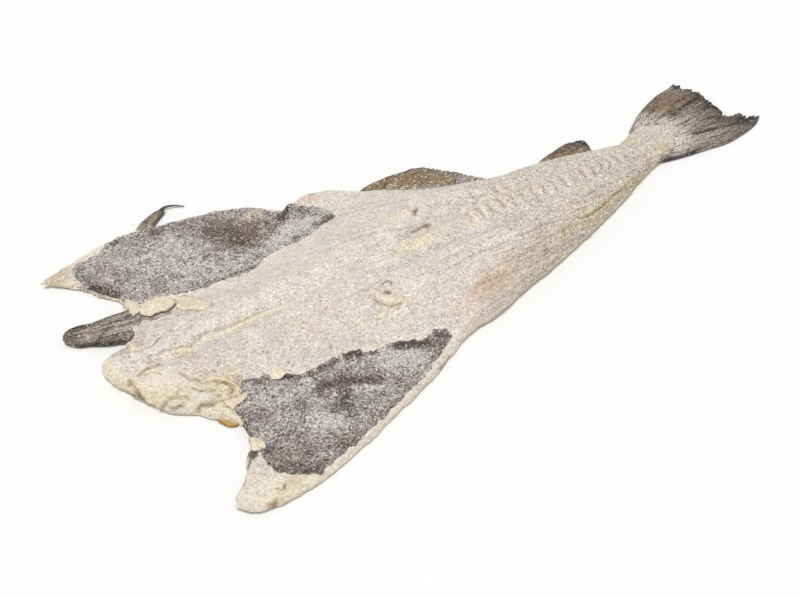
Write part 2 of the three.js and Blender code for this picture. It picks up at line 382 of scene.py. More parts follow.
RIDGES = [  # line, half width, height
    (SCAR, 2.8, 1.5),
    ([[x, y + CREASE_BESIDE] for x, y in SCAR], 1.4, -0.7),
    ([[-2, -18], [12, -22], [30, -28], [58, -30]], 9, 2.2),  # cut end of the backbone
    (NOTCH_STRIP, 2.4, 1.6),
    (MIDDLE_LIP, 3.4, 2.2),
    (COLLAR_FOLDS, 2.4, 1.9),
    ([[-206, -62], [-200.5, -63], [-196.5, -65.5]], 1.2, -1.2),
    ([[-250, -50], [-238, -60], [-226, -67]], 4, 1.8),
    ([[-262, 20], [-266, 4], [-262, -10]], 4, 1.2),
    ([[-221, 58], [-226, 40], [-232, 37], [-239, 20], [-239, 7]], 2.4, 1.6),
    *((fold, 1.5, 1.8) for fold in NECK_FOLDS),
    *((crease, 0.9, -1.6) for crease in FOLD_CREASES),
    ([[-211, 8.5], [-205, 11], [-201, 8.5], [-196, 10], [-190, 8.5]], 1.8, 1.3),
    ([[-203, 39], [-195, 35], [-188, 29], [-188, 17]], 3, 1.3),
    ([[-225, 12], [-215, 30], [-206, 40]], 3, 1.2),
    ([[-230, -188], [-214, -184], [-200, -186], [-187, -184]], 3, 1.0),
    (NECK_CREASE, 1.1, -1.6),
    (BACK_CREASE, 0.9, -0.8),
    *((line, 2, -0.6) for line in LONG_FOLDS),
    *(([[x, y + CREASE_BESIDE] for x, y in line], 3, 0.7) for line in LONG_FOLDS),
    (MIDDLE_HOLE, 1.5, -2.4),
    (GOLD_HOLE, 1.6, -1.6),
    (TIP_FOLD, 1.3, -1.6),
    ([[-214, -183], [-205, -185.5], [-197, -186.5]], 1, -0.9),
    ([[2, -19], [11, -13], [26, -11.5]], 3, -0.9),
    ([[24, -12], [42, -11]], 1.2, -1.3),
    ([[38, 3], [44, 10]], 1.8, -2.2),
    (LIP_RIM, 1.1, -0.7),
    (LIP_SLIT, 1.4, -1.4),
    ([[-30, -42], [20, -43], [75, -51], [135, -52]], 6, -1.8),
    ([[-252, 14], [-244, 18], [-238, 13]], 1.4, -1.4),
    (COLLAR_CREASE, 1.2, -1.4),
    ([[-242, 6], [-228, 2], [-214, 8]], 1.4, -1.2),
    ([[-228, -187.5], [-222, -187]], 1.8, -1.4),
    ([[0, 62], [16, 46], [24, 34]], 1.6, -0.9),
]
LUMPS = [  # x, y, half length, half width, turn, height
    (-216, -66, 10, 5.5, -8, 2.2), (-200, -64, 9, 7, 0, 1.6), (-212, -79, 5, 3, 0, 1.4),
    (-190, -58, 11, 6, -20, 1.2), (-236, -70, 8, 5, -30, 1.4), (-207, -180, 10, 4, 5, 1.4),
    (-8, 108, 14, 9, -25, 1.4), (-244, -172, 8, 10, 0, 1.2), (12, 22, 9, 6, 20, 1.2),
    (30, 10, 8, 5, 0, 1.0), (-255, 2, 12, 14, 0, 1.4), (-30, 110, 5, 4, 60, 1.2),
    (-47, 100, 6, 3, 20, -1.2), (-232, -28, 12, 9, 30, 1.0), (-196, -10, 10, 6, 10, 0.8),
    (-222, -179, 6, 3, 30, 1.0),
]


def unrolled(x, y):
    """Places measured along the surface, so that waves keep their size on the steep edges: how
    far the rounding has let the surface drop is added to the way out."""
    thickness, rim, across, along = edge_form(x, y)[:4]
    drop = thickness - rim
    side = np.where(y > spine_line(x), 1, -1)
    end = np.where(x > 100, 1, -1)
    return x + end * drop * (1 - along), y + side * drop * (1 - across)


def creases(x, y, size, seed, width):
    """-1 along thin wandering lines, 0 elsewhere."""
    return rising(np.abs(waves(x, y, size, seed, 2)), 0, width) - 1


def crumple(x, y, size, seed):
    """Crumpled membrane: waves folded about their middle, which meet in sharp ridges."""
    bent_x, bent_y = shaken(x, y, 0.3 * size, size, seed)
    return sum((0.3 - np.abs(waves(bent_x, bent_y, size / 2**k, seed + 2 + k, 1))) / 2**k
               for k in range(3))


def flakes(x, y, size, seed):
    """Overlapping flakes: waves cut into levels, each tilted down to the next one's edge."""
    level = 2.2 * waves(x, y, size, seed, 3)
    share = level % 1
    return rising(share, 0, 0.18) - share - 0.4


def cushions(x, y, line, half_wide):
    """A row of rounded cushions, one over each vertebra, as half ellipsoids on a line."""
    x, y = shaken(x, y, 1.6, 8, 15)
    across, along = beside(x, y, line, half_wide + 1)
    beat = (x - FIRST_VERTEBRA + 0.02 * across**2) / VERTEBRA_PITCH % 1
    gone = np.minimum(beat, 1 - beat) * CUSHION_SHRINK
    dome = np.maximum(1 - gone**2 - (across / half_wide) ** 2, 0) ** 0.75
    return dome * rising(np.minimum(along, 1 - along), 0, 0.1)


def torn_share(x, y):
    """1 on the crumpled skin and membrane round the neck, 0 on the plain muscle: it fades over
    70 mm back from the neck, and two bells stand over the collar and the middle lip."""
    front_in = insets(x, y)[2]
    torn = np.maximum(1 - rising(front_in, 15, 85), bell(np.hypot(x + 205, y + 66), 26))
    return np.maximum(torn, bell(np.hypot(x + 35, y + 66), 26) * 0.6)


def relief(x, y):
    """How far the surface stands proud of the plain one: broad and small waves, flaky layers
    round the neck, creases, muscle segments that run out from the spine as chevrons, the
    lumps that the vertebrae leave, streaks and rolled rims at the edges, and the named marks."""
    edges = insets(x, y)
    near_in, inset = edges[1], np.minimum.reduce(edges)
    sx, sy = unrolled(x, y)
    off_spine = np.abs(y - spine_line(x))
    rear = rising(x, 20, 110)
    torn = torn_share(x, y)
    height = sum(rise * waves(sx, sy, *kind) for rise, *kind in FLESH_WAVES)
    height += blend(0.15, 1.2, torn) * crumple(sx, sy, 22, 41)
    height += blend(0.14, 0.25, torn) * creases(sx, sy, 9, 27, 0.12)
    height += blend(0.1, 0.16, torn) * creases(sx, sy, 4.2, 28, 0.16)
    height += blend(0.28, 0.5, torn) * flakes(sx, sy, 17, 29) + 0.16 * flakes(sx, sy, 7, 30)
    chevron = (x + MUSCLE_SLANT * off_spine) / MUSCLE_PITCH + 0.35 * waves(x, y, 30, 14, 2)
    segments = np.abs((chevron % 1) - 0.5) * 2
    height -= blend(0.1, 0.22, rear) * (1 - rising(segments, 0, 0.3)) * rising(off_spine, 6, 26)
    height += (BONE_CUSHION * cushions(x, y, BONE_LINE, 10)
               + SECOND_CUSHION * cushions(x, y, SECOND_ROW, 7))
    streaks = waves(0.13 * sx, sy, 2.8, 17, 2) * rising(x, -20, 60) * (1 - rising(near_in, 26, 50))
    height += STREAK_HEIGHT * streaks
    height += BELLY_ROLL * bell(inset - 4.5, 2.6) * (1 - rear)
    height += NEAR_ROLL * bell(near_in - 5, 3.5) * rising(x, 120, 180)
    height += marks(*shaken(x, y, 1.3, 7, 18), RIDGES, LUMPS)
    return height * rising(over_rim(x, y), 0.2, 2.6)


SLOPE_STEP = 0.4


def slopes(x, y):
    """The plain surface's outward direction, from its rise over a short step each way."""
    east = plain_heights(x + SLOPE_STEP, y)[0] - plain_heights(x - SLOPE_STEP, y)[0]
    north = plain_heights(x, y + SLOPE_STEP)[0] - plain_heights(x, y - SLOPE_STEP)[0]
    out = np.stack([-east, -north, np.full(x.shape, 2 * SLOPE_STEP)], -1)
    return out / np.linalg.norm(out, axis=-1, keepdims=True)


def on_flesh(x, y, lift=0):
    """Points on the finished flesh side, or so many millimetres off it."""
    plain = np.stack([x, y, plain_heights(x, y)[0]], -1)
    return plain + slopes(x, y) * (relief(x, y) + lift)[..., None]


def hollows(height, cells):
    """How far each place of a grid lies below the mean of the eight places so many cells away."""
    padded = np.pad(height, cells, mode="edge")
    rows, columns = height.shape
    steps = (0, cells, 2 * cells)
    around = sum(padded[i:i + rows, j:j + columns] for i in steps for j in steps)
    return (around - height) / 8 - height


FINE_STEPS = 20001


def even_over_rounds(count, reach, extra):
    """Steps from 0 to 1, closer together within reach of both ends so that a rounded edge
    there is stepped evenly: its quarter round takes this extra share of them. The run over
    the rounded line is worked out in fine steps and read back at even ones."""
    t = 0.5 - 0.5 * np.cos(np.pi * np.linspace(0, 1, FINE_STEPS))
    run = t + extra * (round_off(t, reach) + 1 - round_off(1 - t, reach))
    return np.interp(np.linspace(0, run[-1], count + 1), run, t)


def new_mesh(name, points, faces):
    """A smooth mesh in metres, at its place in the frame, from points in millimetres."""
    mesh = bpy.data.meshes.new(name)
    places = (points.reshape(-1, 3) + PLACE) / 1000
    mesh.vertices.add(len(places))
    mesh.vertices.foreach_set("co", places.astype(np.float32).ravel())
    mesh.loops.add(faces.size)
    mesh.loops.foreach_set("vertex_index", faces.astype(np.int32).ravel())
    mesh.polygons.add(len(faces))
    mesh.polygons.foreach_set("loop_start", np.arange(0, faces.size, faces.shape[1], dtype=np.int32))
    mesh.polygons.foreach_set("use_smooth", np.ones(len(faces), bool))
    mesh.update(calc_edges=True)
    return mesh


def quads(rows, columns):
    """Four corners of each cell of a grid. A face points the way that a turn from its row
    direction to its column direction gives."""
    corner = np.arange(rows * columns).reshape(rows, columns)
    cells = [corner[:-1, :-1], corner[1:, :-1], corner[1:, 1:], corner[:-1, 1:]]
    return np.stack(cells, -1).reshape(-1, 4)


def add_values(mesh, **values):
    """Named numbers on each vertex for the material to read."""
    for name, numbers in values.items():
        layer = mesh.attributes.new(name, "FLOAT", "POINT")
        layer.data.foreach_set("value", numbers.astype(np.float32).ravel())


def add_layout(mesh, faces, rows, columns):
    """The flat layout that the finish is drawn on: the grid's own two directions."""
    layer = mesh.uv_layers.new(name="OFBake")
    places = np.stack(np.meshgrid(np.linspace(0, 1, rows), np.linspace(0, 1, columns), indexing="ij"), -1)
    layer.data.foreach_set("uv", places.reshape(-1, 2)[faces.ravel()].astype(np.float32).ravel())


def add_piece(name, mesh, material):
    """Puts a finished mesh into the scene, on the fish's only body."""
    mesh.materials.append(material)
    piece = bpy.data.objects.new(name, mesh)
    bpy.context.scene.collection.objects.link(piece)
    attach(piece, "root")
    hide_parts("salted_cod")
    return piece


class Wire:
    """One output of a material's nodes. Sums on it add Math nodes, so a pattern is written as
    an expression; every other node comes from node()."""

    def __init__(self, tree, socket=None):
        self.tree = tree
        self.socket = socket

    def node(self, kind, inputs=None, out=0, **settings):
        """Adds a node: its settings first, then the values or wires of its sockets, and gives
        the wanted output."""
        made = self.tree.nodes.new("ShaderNode" + kind)
        for name, value in settings.items():
            setattr(made, name, value)
        for name, value in (inputs or {}).items():
            if isinstance(value, Wire):
                self.tree.links.new(value.socket, made.inputs[name])
            else:
                made.inputs[name].default_value = value
        return Wire(self.tree, made.outputs[out])

    def maths(self, operation, *values):
        """A Math node on these values or wires."""
        return self.node("Math", dict(enumerate(values)), operation=operation)

    def __add__(self, other):
        return self.maths("ADD", self, other)

    def __sub__(self, other):
        return self.maths("SUBTRACT", self, other)

    def __mul__(self, other):
        return self.maths("MULTIPLY", self, other)

    def __rsub__(self, other):
        return self.maths("SUBTRACT", other, self)

    __radd__ = __add__
    __rmul__ = __mul__

    def limit(self):
        """Kept between 0 and 1."""
        return self.node("Clamp", {0: self})

    def ease(self, low, high):
        """0 below low, 1 above high, smooth between."""
        return self.node("MapRange", {0: self, 1: low, 2: high}, interpolation_type="SMOOTHSTEP")

    def mix(self, a, b):
        """Colour a where this is 0, colour b where it is 1."""
        return self.node("Mix", {0: self, 6: a, 7: b}, out=2, data_type="RGBA")

    def lighten(self, colour):
        """A colour made lighter or darker by this many times."""
        return self.node("VectorMath", {0: colour, 3: self}, operation="SCALE")

    def value(self, name):
        """The numbers called name on the mesh."""
        return self.node("Attribute", out=2, attribute_name=name)

    def place(self, stretch=(1, 1, 1)):
        """Where the point is on the object, stretched along each axis."""
        where = self.node("TexCoord", out=3)
        return self.node("Mapping", {0: where, 3: stretch})

    def noise(self, size, detail=3, roughness=0.55, place=None, twist=0):
        """Random waves between 0 and 1, about size millimetres long."""
        inputs = {"Vector": place or self.place(), "Scale": 1000 / size, "Detail": detail,
                  "Roughness": roughness, "Distortion": twist}
        return self.node("TexNoise", inputs)

    def crack(self, size, width):
        """1 along thin wandering lines that come and go, about size millimetres apart."""
        line = 1 - (self.noise(size, 3, 0.6, twist=0.6) - 0.5).maths("ABSOLUTE").ease(0, width)
        return line * self.noise(1.7 * size, 2).ease(0.45, 0.62)

    def crystals(self, size, place=None):
        """Distance to the nearest of scattered points, about size millimetres apart."""
        return self.node("TexVoronoi", {"Vector": place or self.place(), "Scale": 1000 / size})


def paint(red, green, blue):
    """A colour given as it looks on a screen, as the light values that Blender wants."""
    c = np.array([red, green, blue]) / 255
    return (*np.where(c <= 0.04045, c / 12.92, ((c + 0.055) / 1.055) ** 2.4), 1)


def new_material(name, draw, **constants):
    """A Principled material. draw(wire) gives the wires of Base Color, Roughness and the
    bump's height in millimetres; constants are the sockets that are the same all over."""
    material = bpy.data.materials.new(name)
    material.use_nodes = True
    tree = material.node_tree
    shader = tree.nodes["Principled BSDF"]
    for socket, value in constants.items():
        shader.inputs[socket.replace("_", " ")].default_value = value
    colour, roughness, height = draw(Wire(tree))
    bump = Wire(tree).node("Bump", {"Height": height, "Strength": 1, "Distance": 0.001})
    tree.links.new(colour.socket, shader.inputs["Base Color"])
    tree.links.new(roughness.socket, shader.inputs["Roughness"])
    tree.links.new(bump.socket, shader.inputs["Normal"])
    return material


FLESH = paint(224, 217, 207)
FLESH_DEEP = paint(205, 196, 185)
FLESH_YELLOW = paint(224, 208, 172)
FLESH_CREAM = paint(238, 229, 212)
FLESH_PINK = paint(216, 194, 176)
FLESH_BROWN = paint(150, 118, 86)
FLESH_GREY = paint(184, 183, 180)
# The dark of the crust's pores and cracks, and also the painted shade in the hollows.
FLESH_PORE_AND_SHADE = paint(148, 130, 112)
EDGE_SKIN = paint(98, 92, 86)
SALT_WHITE = paint(240, 238, 233)


def draw_flesh(w):
    """Dried muscle: two greyish creams in soft clouds, stained yellow, pink, brown or grey
    where the vertex numbers say, some of the brown and grey being painted shade, with painted
    shade that makes the hollows darker and browner, covered all over by a fine worm-like crust
    with dark pores between its grains and salt on top."""
    crust = w.noise(2.4, 4, 0.72, w.place((0.75, 1, 1)), twist=0.6)
    grit = w.noise(1.8, 3, 0.65)
    worms = 1 - (w.noise(3.8, 3, 0.6, twist=1) - 0.5).maths("ABSOLUTE").ease(0, 0.06)
    worms = worms * (0.35 + w.noise(14, 2).ease(0.4, 0.62) * 0.65)
    hollow, torn, cream = w.value("hollow"), w.value("torn"), w.value("cream")
    uneven = (w.noise(6, 3) - 0.5) * 0.6 + (crust - 0.5) * 0.2
    colour = (w.noise(19, 4, 0.65).ease(0.42, 0.72) * 0.45).mix(FLESH, FLESH_DEEP)
    for name, stain in (("cream", FLESH_CREAM), ("pink", FLESH_PINK), ("yellow", FLESH_YELLOW),
                        ("grey", FLESH_GREY), ("brown", FLESH_BROWN), ("skin", EDGE_SKIN)):
        amount = w.value(name)
        colour = (amount + uneven * amount.ease(0, 0.4)).limit().mix(colour, stain)
    smooth = 1 - cream * 0.6
    speckle = ((crust - 0.5) * 1.2 + (grit - 0.5) * 2.1 - worms * 0.34) * smooth * w.value("rough")
    cracks = w.crack(15, 0.02) + w.crack(8, 0.028)
    cracks = cracks.limit() * (0.3 + torn * 0.6)
    # Painted shade: the hollows are made darker here and browner in the next line.
    colour = (1.075 + speckle - cream * 0.01 - hollow * 0.1 * smooth - w.value("shade")).lighten(colour)
    colour = (hollow.ease(0.15, 1.1) * 0.35 * smooth + cracks * 0.8).limit().mix(colour, FLESH_PORE_AND_SHADE)
    pores = (1 - w.crystals(2.6).ease(0.1, 0.4)) * w.noise(8, 2).ease(0.42, 0.66) * smooth
    colour = (pores * 0.7).mix(colour, FLESH_PORE_AND_SHADE)
    salt = (1 - w.crystals(1.9).ease(0.14, 0.36)) * w.noise(12, 3).ease(0.4, 0.68)
    colour = (salt * 0.55).mix(colour, SALT_WHITE)
    height = crust * 1.5 + grit * 0.8 - worms * 0.6 - cracks * 1.2 + salt * 0.25 - pores * 0.5
    return colour, 0.84 - salt * 0.25 - cream * 0.18, height


flesh_finish = new_material("flesh_finish", draw_flesh, Specular_IOR_Level=0.35)

# Where the flesh is stained, and where shade is painted on it: stripes (line, half width,
# strength) and ovals (x, y, half length, half width, turn, strength). Shade is a plain
# darkening, skin the dark outer skin; the brown and grey marks noted below are painted shade.
STAINS_AND_SHADE = {
    "yellow": (
        [(SCAR, 3.6, 0.4), *((fold, 1.8, 0.4) for fold in NECK_FOLDS), (NECK_CREASE, 2.2, 0.9),
         ([[-175, -22], [-130, -26], [-85, -29]], 8, 0.12),
         ([[-264, 20], [-268, 2], [-262, -18], [-252, -42], [-234, -62], [-222, -72]], 6, 0.4),
         (NOTCH_STRIP, 2.6, 0.45), (MIDDLE_LIP, 4, 0.7), (COLLAR_FOLDS, 3, 0.7),
         ([[55, -27], [100, -28], [155, -29]], 11, 0.25),
         ([[-12, -26], [10, -29], [35, -32], [95, -40]], 5, 0.2),
         (BACK_CREASE, 2.4, 0.75),
         ([[-243, 10], [-237, 24], [-230, 42]], 3.5, 0.5),
         ([[20, -112], [80, -101], [140, -88]], 9, 0.2)],
        [(-198, -66, 13, 9, 0, 0.65), (-190, -58, 11, 6, -20, 0.3), (-212, -78, 9, 6, 0, 0.5),
         (-207, -180, 15, 6, 8, 1.0), (-226, -185, 9, 3, -5, 0.6), (-206, -131, 7, 8, 0, 0.6),
         (-36, -66, 12, 12, 0, 0.25), (-57, -77, 6, 4, 0, 0.5), (-76, -75, 7, 4, 0, 0.45),
         (18, -26, 17, 9, -15, 0.65), (24, 12, 10, 6, 30, 0.45), (42, 9, 8, 8, 0, 0.4),
         (14, 22, 9, 6, 0, 0.4), (315, -27, 15, 7, 10, 0.65), (-252, 138, 12, 6, -40, 0.4),
         (-226, 152, 8, 9, 0, 0.3), (-62, 118, 12, 7, -15, 0.5), (300, 2, 14, 8, 0, 0.3)],
    ),
    "cream": (
        [([[-262, 24], [-269, 4], [-263, -20], [-252, -44], [-234, -63], [-216, -74]], 14, 0.9),
         (NOTCH_STRIP, 4, 0.8), (SCAR, 2.6, 0.45), (MIDDLE_LIP, 3, 0.7),
         *((fold, 1.8, 0.5) for fold in NECK_FOLDS)],
        [(-216, -66, 10, 5.5, -8, 1.0), (-222, -54, 16, 14, -20, 0.5),
         (-234, -46, 22, 16, -35, 0.6), (-40, -72, 12, 5, -30, 0.7),
         (-244, -172, 20, 16, 0, 1.0), (-228, -160, 16, 22, 0, 0.8), (-215, -178, 24, 10, 0, 0.6),
         (-206, -180, 22, 8, 5, 0.5), (-212, 158, 20, 8, 20, 0.8),
         (-14, -62, 14, 9, 0, 0.3), (-150, 159, 14, 5, -5, 0.5), (330, 0, 22, 22, 0, 0.4),
         (-246, -40, 14, 14, 0, 0.6)],
    ),
    "pink": (
        [([[-10, -120], [40, -108], [100, -94], [160, -82], [220, -63]], 14, 0.45),
         ([[-221, 58], [-226, 40], [-232, 37], [-239, 20]], 4, 0.5)],
        [(-8, 112, 13, 8, -30, 0.8), (-224, 28, 16, 18, 0, 0.4),
         (30, -104, 28, 9, 5, 0.5), (-222, 62, 4, 6, 0, 0.9),
         (-100, -55, 40, 14, 0, 0.2), (-205, -42, 38, 15, 0, 0.35),
         (150, -10, 60, 14, 0, 0.25), (215, -30, 16, 6, 0, 0.35), (-150, 158, 12, 7, -10, 0.5),
         (-250, 142, 18, 10, 30, 1.0)],
    ),
    "brown": (
        # Along the fold creases: painted shadow under the neck folds.
        [(NECK_CREASE, 0.7, 0.7), *((crease, 0.5, 0.5) for crease in FOLD_CREASES),
         ([[24, -11.5], [42, -11]], 1.0, 0.45),
         # Beside the cut end of the backbone: painted shade in the dip, and a faint brownish stain.
         ([[4, -14], [14, -9], [28, -8], [42, -8], [49, -2], [50, 5]], 4, 0.22),
         ([[164, -77.5], [178, -75.3], [205, -68.5], [228, -61]], 0.6, 0.5),
         ([[60, -99], [120, -88], [170, -78]], 2.5, 0.1),
         *((line, 1.2, 0.09) for line in LONG_FOLDS),
         (TIP_FOLD, 1, 0.8), (MIDDLE_HOLE, 1.1, 1.0), (GOLD_HOLE, 1.5, 0.7),
         (LIP_RIM, 0.8, 0.45), (LIP_SLIT, 1.4, 0.5),
         # Along the collar plate's lower edge: painted shadow under the plate, and a brown dried crack.
         ([[-214, 53], [-209, 47], [-202, 42.5], [-196, 41], [-188, 42]], 1.5, 0.9),
         (COLLAR_CREASE, 1, 0.5)],
        # The first oval, along the scar's upper edge, is painted shadow.
        [(-233, -15, 6, 2, -30, 0.4), (41, -13, 2.6, 2, 0, 1.0), (43, 8, 4.4, 1.9, 50, 0.8),
         (12, 25, 5, 1.4, 60, 0.4), (-40, -55.5, 1.8, 1.4, 0, 0.6), (-228, -187, 5, 1.5, -5, 0.9),
         (38, -104, 16, 7, 0, 0.16), (75, -92, 30, 7, 12, 0.14), (-205, 9, 5, 1.2, 20, 0.4),
         (75, -53, 2, 1.5, 0, 0.5), (-222, 56, 3, 3, 0, 0.5),
         (-250, 140, 12, 5, 30, 0.25)],
    ),
    "grey": (
        [([[-150, -70], [-120, -78], [-85, -82], [-50, -94], [-15, -104]], 5, 0.25),
         # Along the groove between the backbone ridge and the near loin: painted shade.
         ([[-30, -42], [20, -43], [75, -51], [120, -53]], 5, 0.3),
         ([[-203, 40], [-195, 36], [-188, 28], [-188, 16]], 7, 0.3),
         ([[-258, 16], [-250, 17], [-243, 13]], 2, 0.8)],
        [(340, 4, 16, 14, 0, 0.3), (-190, -35, 22, 14, 0, 0.2)],
    ),
    "skin": (
        [([[-264.4, -17], [-262, -24.7], [-259, -33.8], [-255.4, -43], [-253.7, -46]], 1.2, 0.9),
         ([[-253, 14.7], [-249, 11.7], [-245, 9.7]], 1.0, 0.6),
         ([[-213, -134], [-218, -139], [-222, -143], [-228, -148], [-234, -155], [-243, -165]], 1.3, 0.9),
         ([[-258, 26], [-248, 25], [-240, 26]], 1.6, 0.8),
         ([[-46, -146], [-36, -141], [-26, -137]], 1.6, 0.7),
         ([[300, -39], [316, -36], [330, -32], [340, -28]], 2, 0.8),
         ([[-238, 122], [-232, 112], [-222, 96]], 1.6, 0.5)],
        [(-217, -137, 4, 4.5, 0, 0.9)],
    ),
    "shade": (
        [([[230, -40], [262, -34], [290, -28]], 14, 0.04)],
        [(220, 10, 60, 14, -10, 0.03), (25, -60, 40, 22, 0, 0.03), (-205, -42, 38, 15, 0, 0.02)],
    ),
}


CLOUDS = {  # strength, length, seed, and the wave heights where a cloud begins and is full
    "yellow": (0.16, 20, 23, 0.15, 0.6),
    "pink": (0.25, 24, 24, 0.1, 0.6),
    "grey": (0.2, 26, 25, 0.1, 0.7),
}


def stains(x, y):
    """How strongly each stain, and the painted shade, colours each place: the named marks,
    some of which are painted shade, then random clouds of yellow, pink, grey and shade, a darker
    tail half, a yellow rim, brown and yellow streaks along the near side, and a cream near edge."""
    near_in = insets(x, y)[1]
    sx, sy = unrolled(x, y)
    uneven = shaken(x, y, 2.2, 9, 21, (sx, sy))
    found = {name: marks(*uneven, *shapes) for name, shapes in STAINS_AND_SHADE.items()}
    found["brown"] += 0.5 * band(x, y + 0.4 * waves(x, y, 5, 33, 2), BACK_CREASE[1:5], 0.7)
    for name, (strength, size, seed, low, high) in CLOUDS.items():
        found[name] += strength * rising(waves(sx, sy, size, seed), low, high)
    found["yellow"] += 0.12 * rising(x, 60, 140)
    found["shade"] += 0.03 * rising(x, -60, 20) + 0.09 * rising(x, 55, 120)
    found["shade"] += 0.05 * waves(sx, sy, 40, 35, 2)
    found["yellow"] += 0.45 * (1 - rising(over_rim(x, y) + 1.5 * waves(sx, sy, 8, 34, 2), 0.5, 4))
    streaks = waves(0.1 * sx, sy, 2.6, 26, 2) * rising(x, 0, 60) * (1 - rising(near_in, 26, 44))
    found["brown"] += 0.18 * rising(streaks, 0.1, 0.6)
    found["yellow"] += 0.2 * rising(-streaks, 0.15, 0.6)
    found["cream"] += 0.4 * (1 - rising(near_in, 3, 12)) * (1 - rising(x, -20, 20))
    return {name: np.clip(amount, 0, 1) for name, amount in found.items()}


ALONG_CELLS = 840
ACROSS_CELLS = 520
THIRD = ALONG_CELLS // 3
HALF = ACROSS_CELLS // 2
LENGTHS = {"front": (0, THIRD), "middle": (THIRD, 2 * THIRD), "rear": (2 * THIRD, ALONG_CELLS)}
SIDES = {"near": (0, HALF), "far": (HALF, ACROSS_CELLS)}

along_share = even_over_rounds(ALONG_CELLS, 0.03, 0.1)
across_share = even_over_rounds(ACROSS_CELLS, 0.09, 0.16)


def body_grid():
    """Every place of the body's outline on a grid that runs from the neck to the tail and from
    the near edge to the far one."""
    share, forward = np.meshgrid(across_share, along_share)
    front = front_edge(blend(NEAR_EDGE[0][1], FAR_EDGE[0][1], share))
    x = blend(front, stem_edge(share), forward)
    return x, blend(near_edge(x), far_edge(x), share)


def grid_normals(points):
    """The outward direction at each point of a grid, from its neighbours."""
    out = np.cross(np.gradient(points, axis=0), np.gradient(points, axis=1))
    return out / np.maximum(np.linalg.norm(out, axis=-1, keepdims=True), 1e-9)


grid_x, grid_y = body_grid()
top = on_flesh(grid_x, grid_y)
bottom = np.stack([grid_x, grid_y, plain_heights(grid_x, grid_y)[1]], -1)
for rim in (np.s_[0], np.s_[-1], np.s_[:, 0], np.s_[:, -1]):
    top[rim] = bottom[rim]
top_normals = grid_normals(top)
flesh_stains_and_shade = stains(grid_x, grid_y)
raised = relief(grid_x, grid_y)
# Painted shade: how far each place lies below its neighbours, which the finish darkens and browns.
flesh_stains_and_shade["hollow"] = hollows(raised, 3) + 0.5 * hollows(raised, 8)
flesh_stains_and_shade["torn"] = torn_share(grid_x, grid_y)
# The crust is coarser towards the tail and round the neck.
flesh_stains_and_shade["rough"] = 0.8 + 0.4 * rising(grid_x, 30, 120) + 0.25 * flesh_stains_and_shade["torn"]

for length, (first, last) in LENGTHS.items():
    for side, (low, high) in SIDES.items():
        cut = np.s_[first:last + 1, low:high + 1]
        points = top[cut]
        faces = quads(*points.shape[:2])
        mesh = new_mesh(f"flesh_{length}_{side}", points, faces)
        add_values(mesh, **{name: amount[cut] for name, amount in flesh_stains_and_shade.items()})
        add_layout(mesh, faces, *points.shape[:2])
        mesh.normals_split_custom_set_from_vertices(top_normals[cut].reshape(-1, 3))
        add_piece(mesh.name, mesh, flesh_finish)


# ---- The skin on the underside ----
# The fish's own scaly skin, still on, which the fish lies on. It is olive and spotted along
# the back, which is the middle here, and silvery towards the belly edges, with the pale
# lateral line between. It meets the flesh all round at the rim.

SKIN_OLIVE = paint(112, 104, 82)
SKIN_SPOT = paint(70, 62, 46)
SKIN_SILVER = paint(186, 180, 165)
SKIN_LINE = paint(206, 200, 184)
SKIN_RIM = paint(222, 211, 190)
RIM_FADE = (3, 9)  # millimetres in from the edge

# As shares of the way from the back to the belly edge.
BELLY_FADE = (0.42, 0.95)
LATERAL_PLACE = 0.52
LATERAL_HALF_WIDTH = 0.01
LATERAL_STRENGTH = 0.7


def draw_skin(w):
    """Dried skin: olive to silver by its distance from the back, dark spots on the olive, the
    pale lateral line, and a fine net of small scales with a wrinkled surface."""
    belly = w.value("belly")
    spots = w.noise(7, 3, 0.6).ease(0.5, 0.62) * (1 - belly)
    scales = w.crystals(1.6, w.place((0.7, 1, 1)))
    colour = (belly + (w.noise(16, 3) - 0.5) * 0.5).limit().mix(SKIN_OLIVE, SKIN_SILVER)
    colour = spots.mix(colour, SKIN_SPOT)
    colour = w.value("lateral").mix(colour, SKIN_LINE)
    colour = (w.value("rim") * 0.9).mix(colour, SKIN_RIM)
    colour = (1.12 - scales * 0.35 + (w.noise(3) - 0.5) * 0.3).lighten(colour)
    return colour, 0.5 + w.noise(4) * 0.25, w.noise(5, 4) * 0.8 - scales * 0.25


skin_finish = new_material("skin_finish", draw_skin)

for length, (first, last) in LENGTHS.items():
    cut = np.s_[first:last + 1:2, ::2]
    points = bottom[cut]
    share = np.tile(across_share[::2], (points.shape[0], 1))
    off_back = np.abs(2 * share - 1)
    faces = quads(*points.shape[:2])[:, ::-1]
    mesh = new_mesh(f"skin_{length}", points, faces)
    x, y = points[..., 0], points[..., 1]
    off_line = off_back - LATERAL_PLACE + 0.02 * waves(x, y, 30, 31, 2)
    inset = np.minimum.reduce(insets(x, y)) + 2 * waves(x, y, 9, 32, 2)
    add_values(mesh, belly=rising(off_back, *BELLY_FADE), rim=1 - rising(inset, *RIM_FADE),
               lateral=LATERAL_STRENGTH * bell(off_line, LATERAL_HALF_WIDTH))
    add_layout(mesh, faces, *points.shape[:2])
    add_piece(mesh.name, mesh, skin_finish)


# ---- The dark lining of the belly ----
# The thin black peritoneum that still covers both belly flaps. It dried onto the flesh in
# grey and purple-brown patches, dusted with salt, with a thicker dark edge where it was torn.

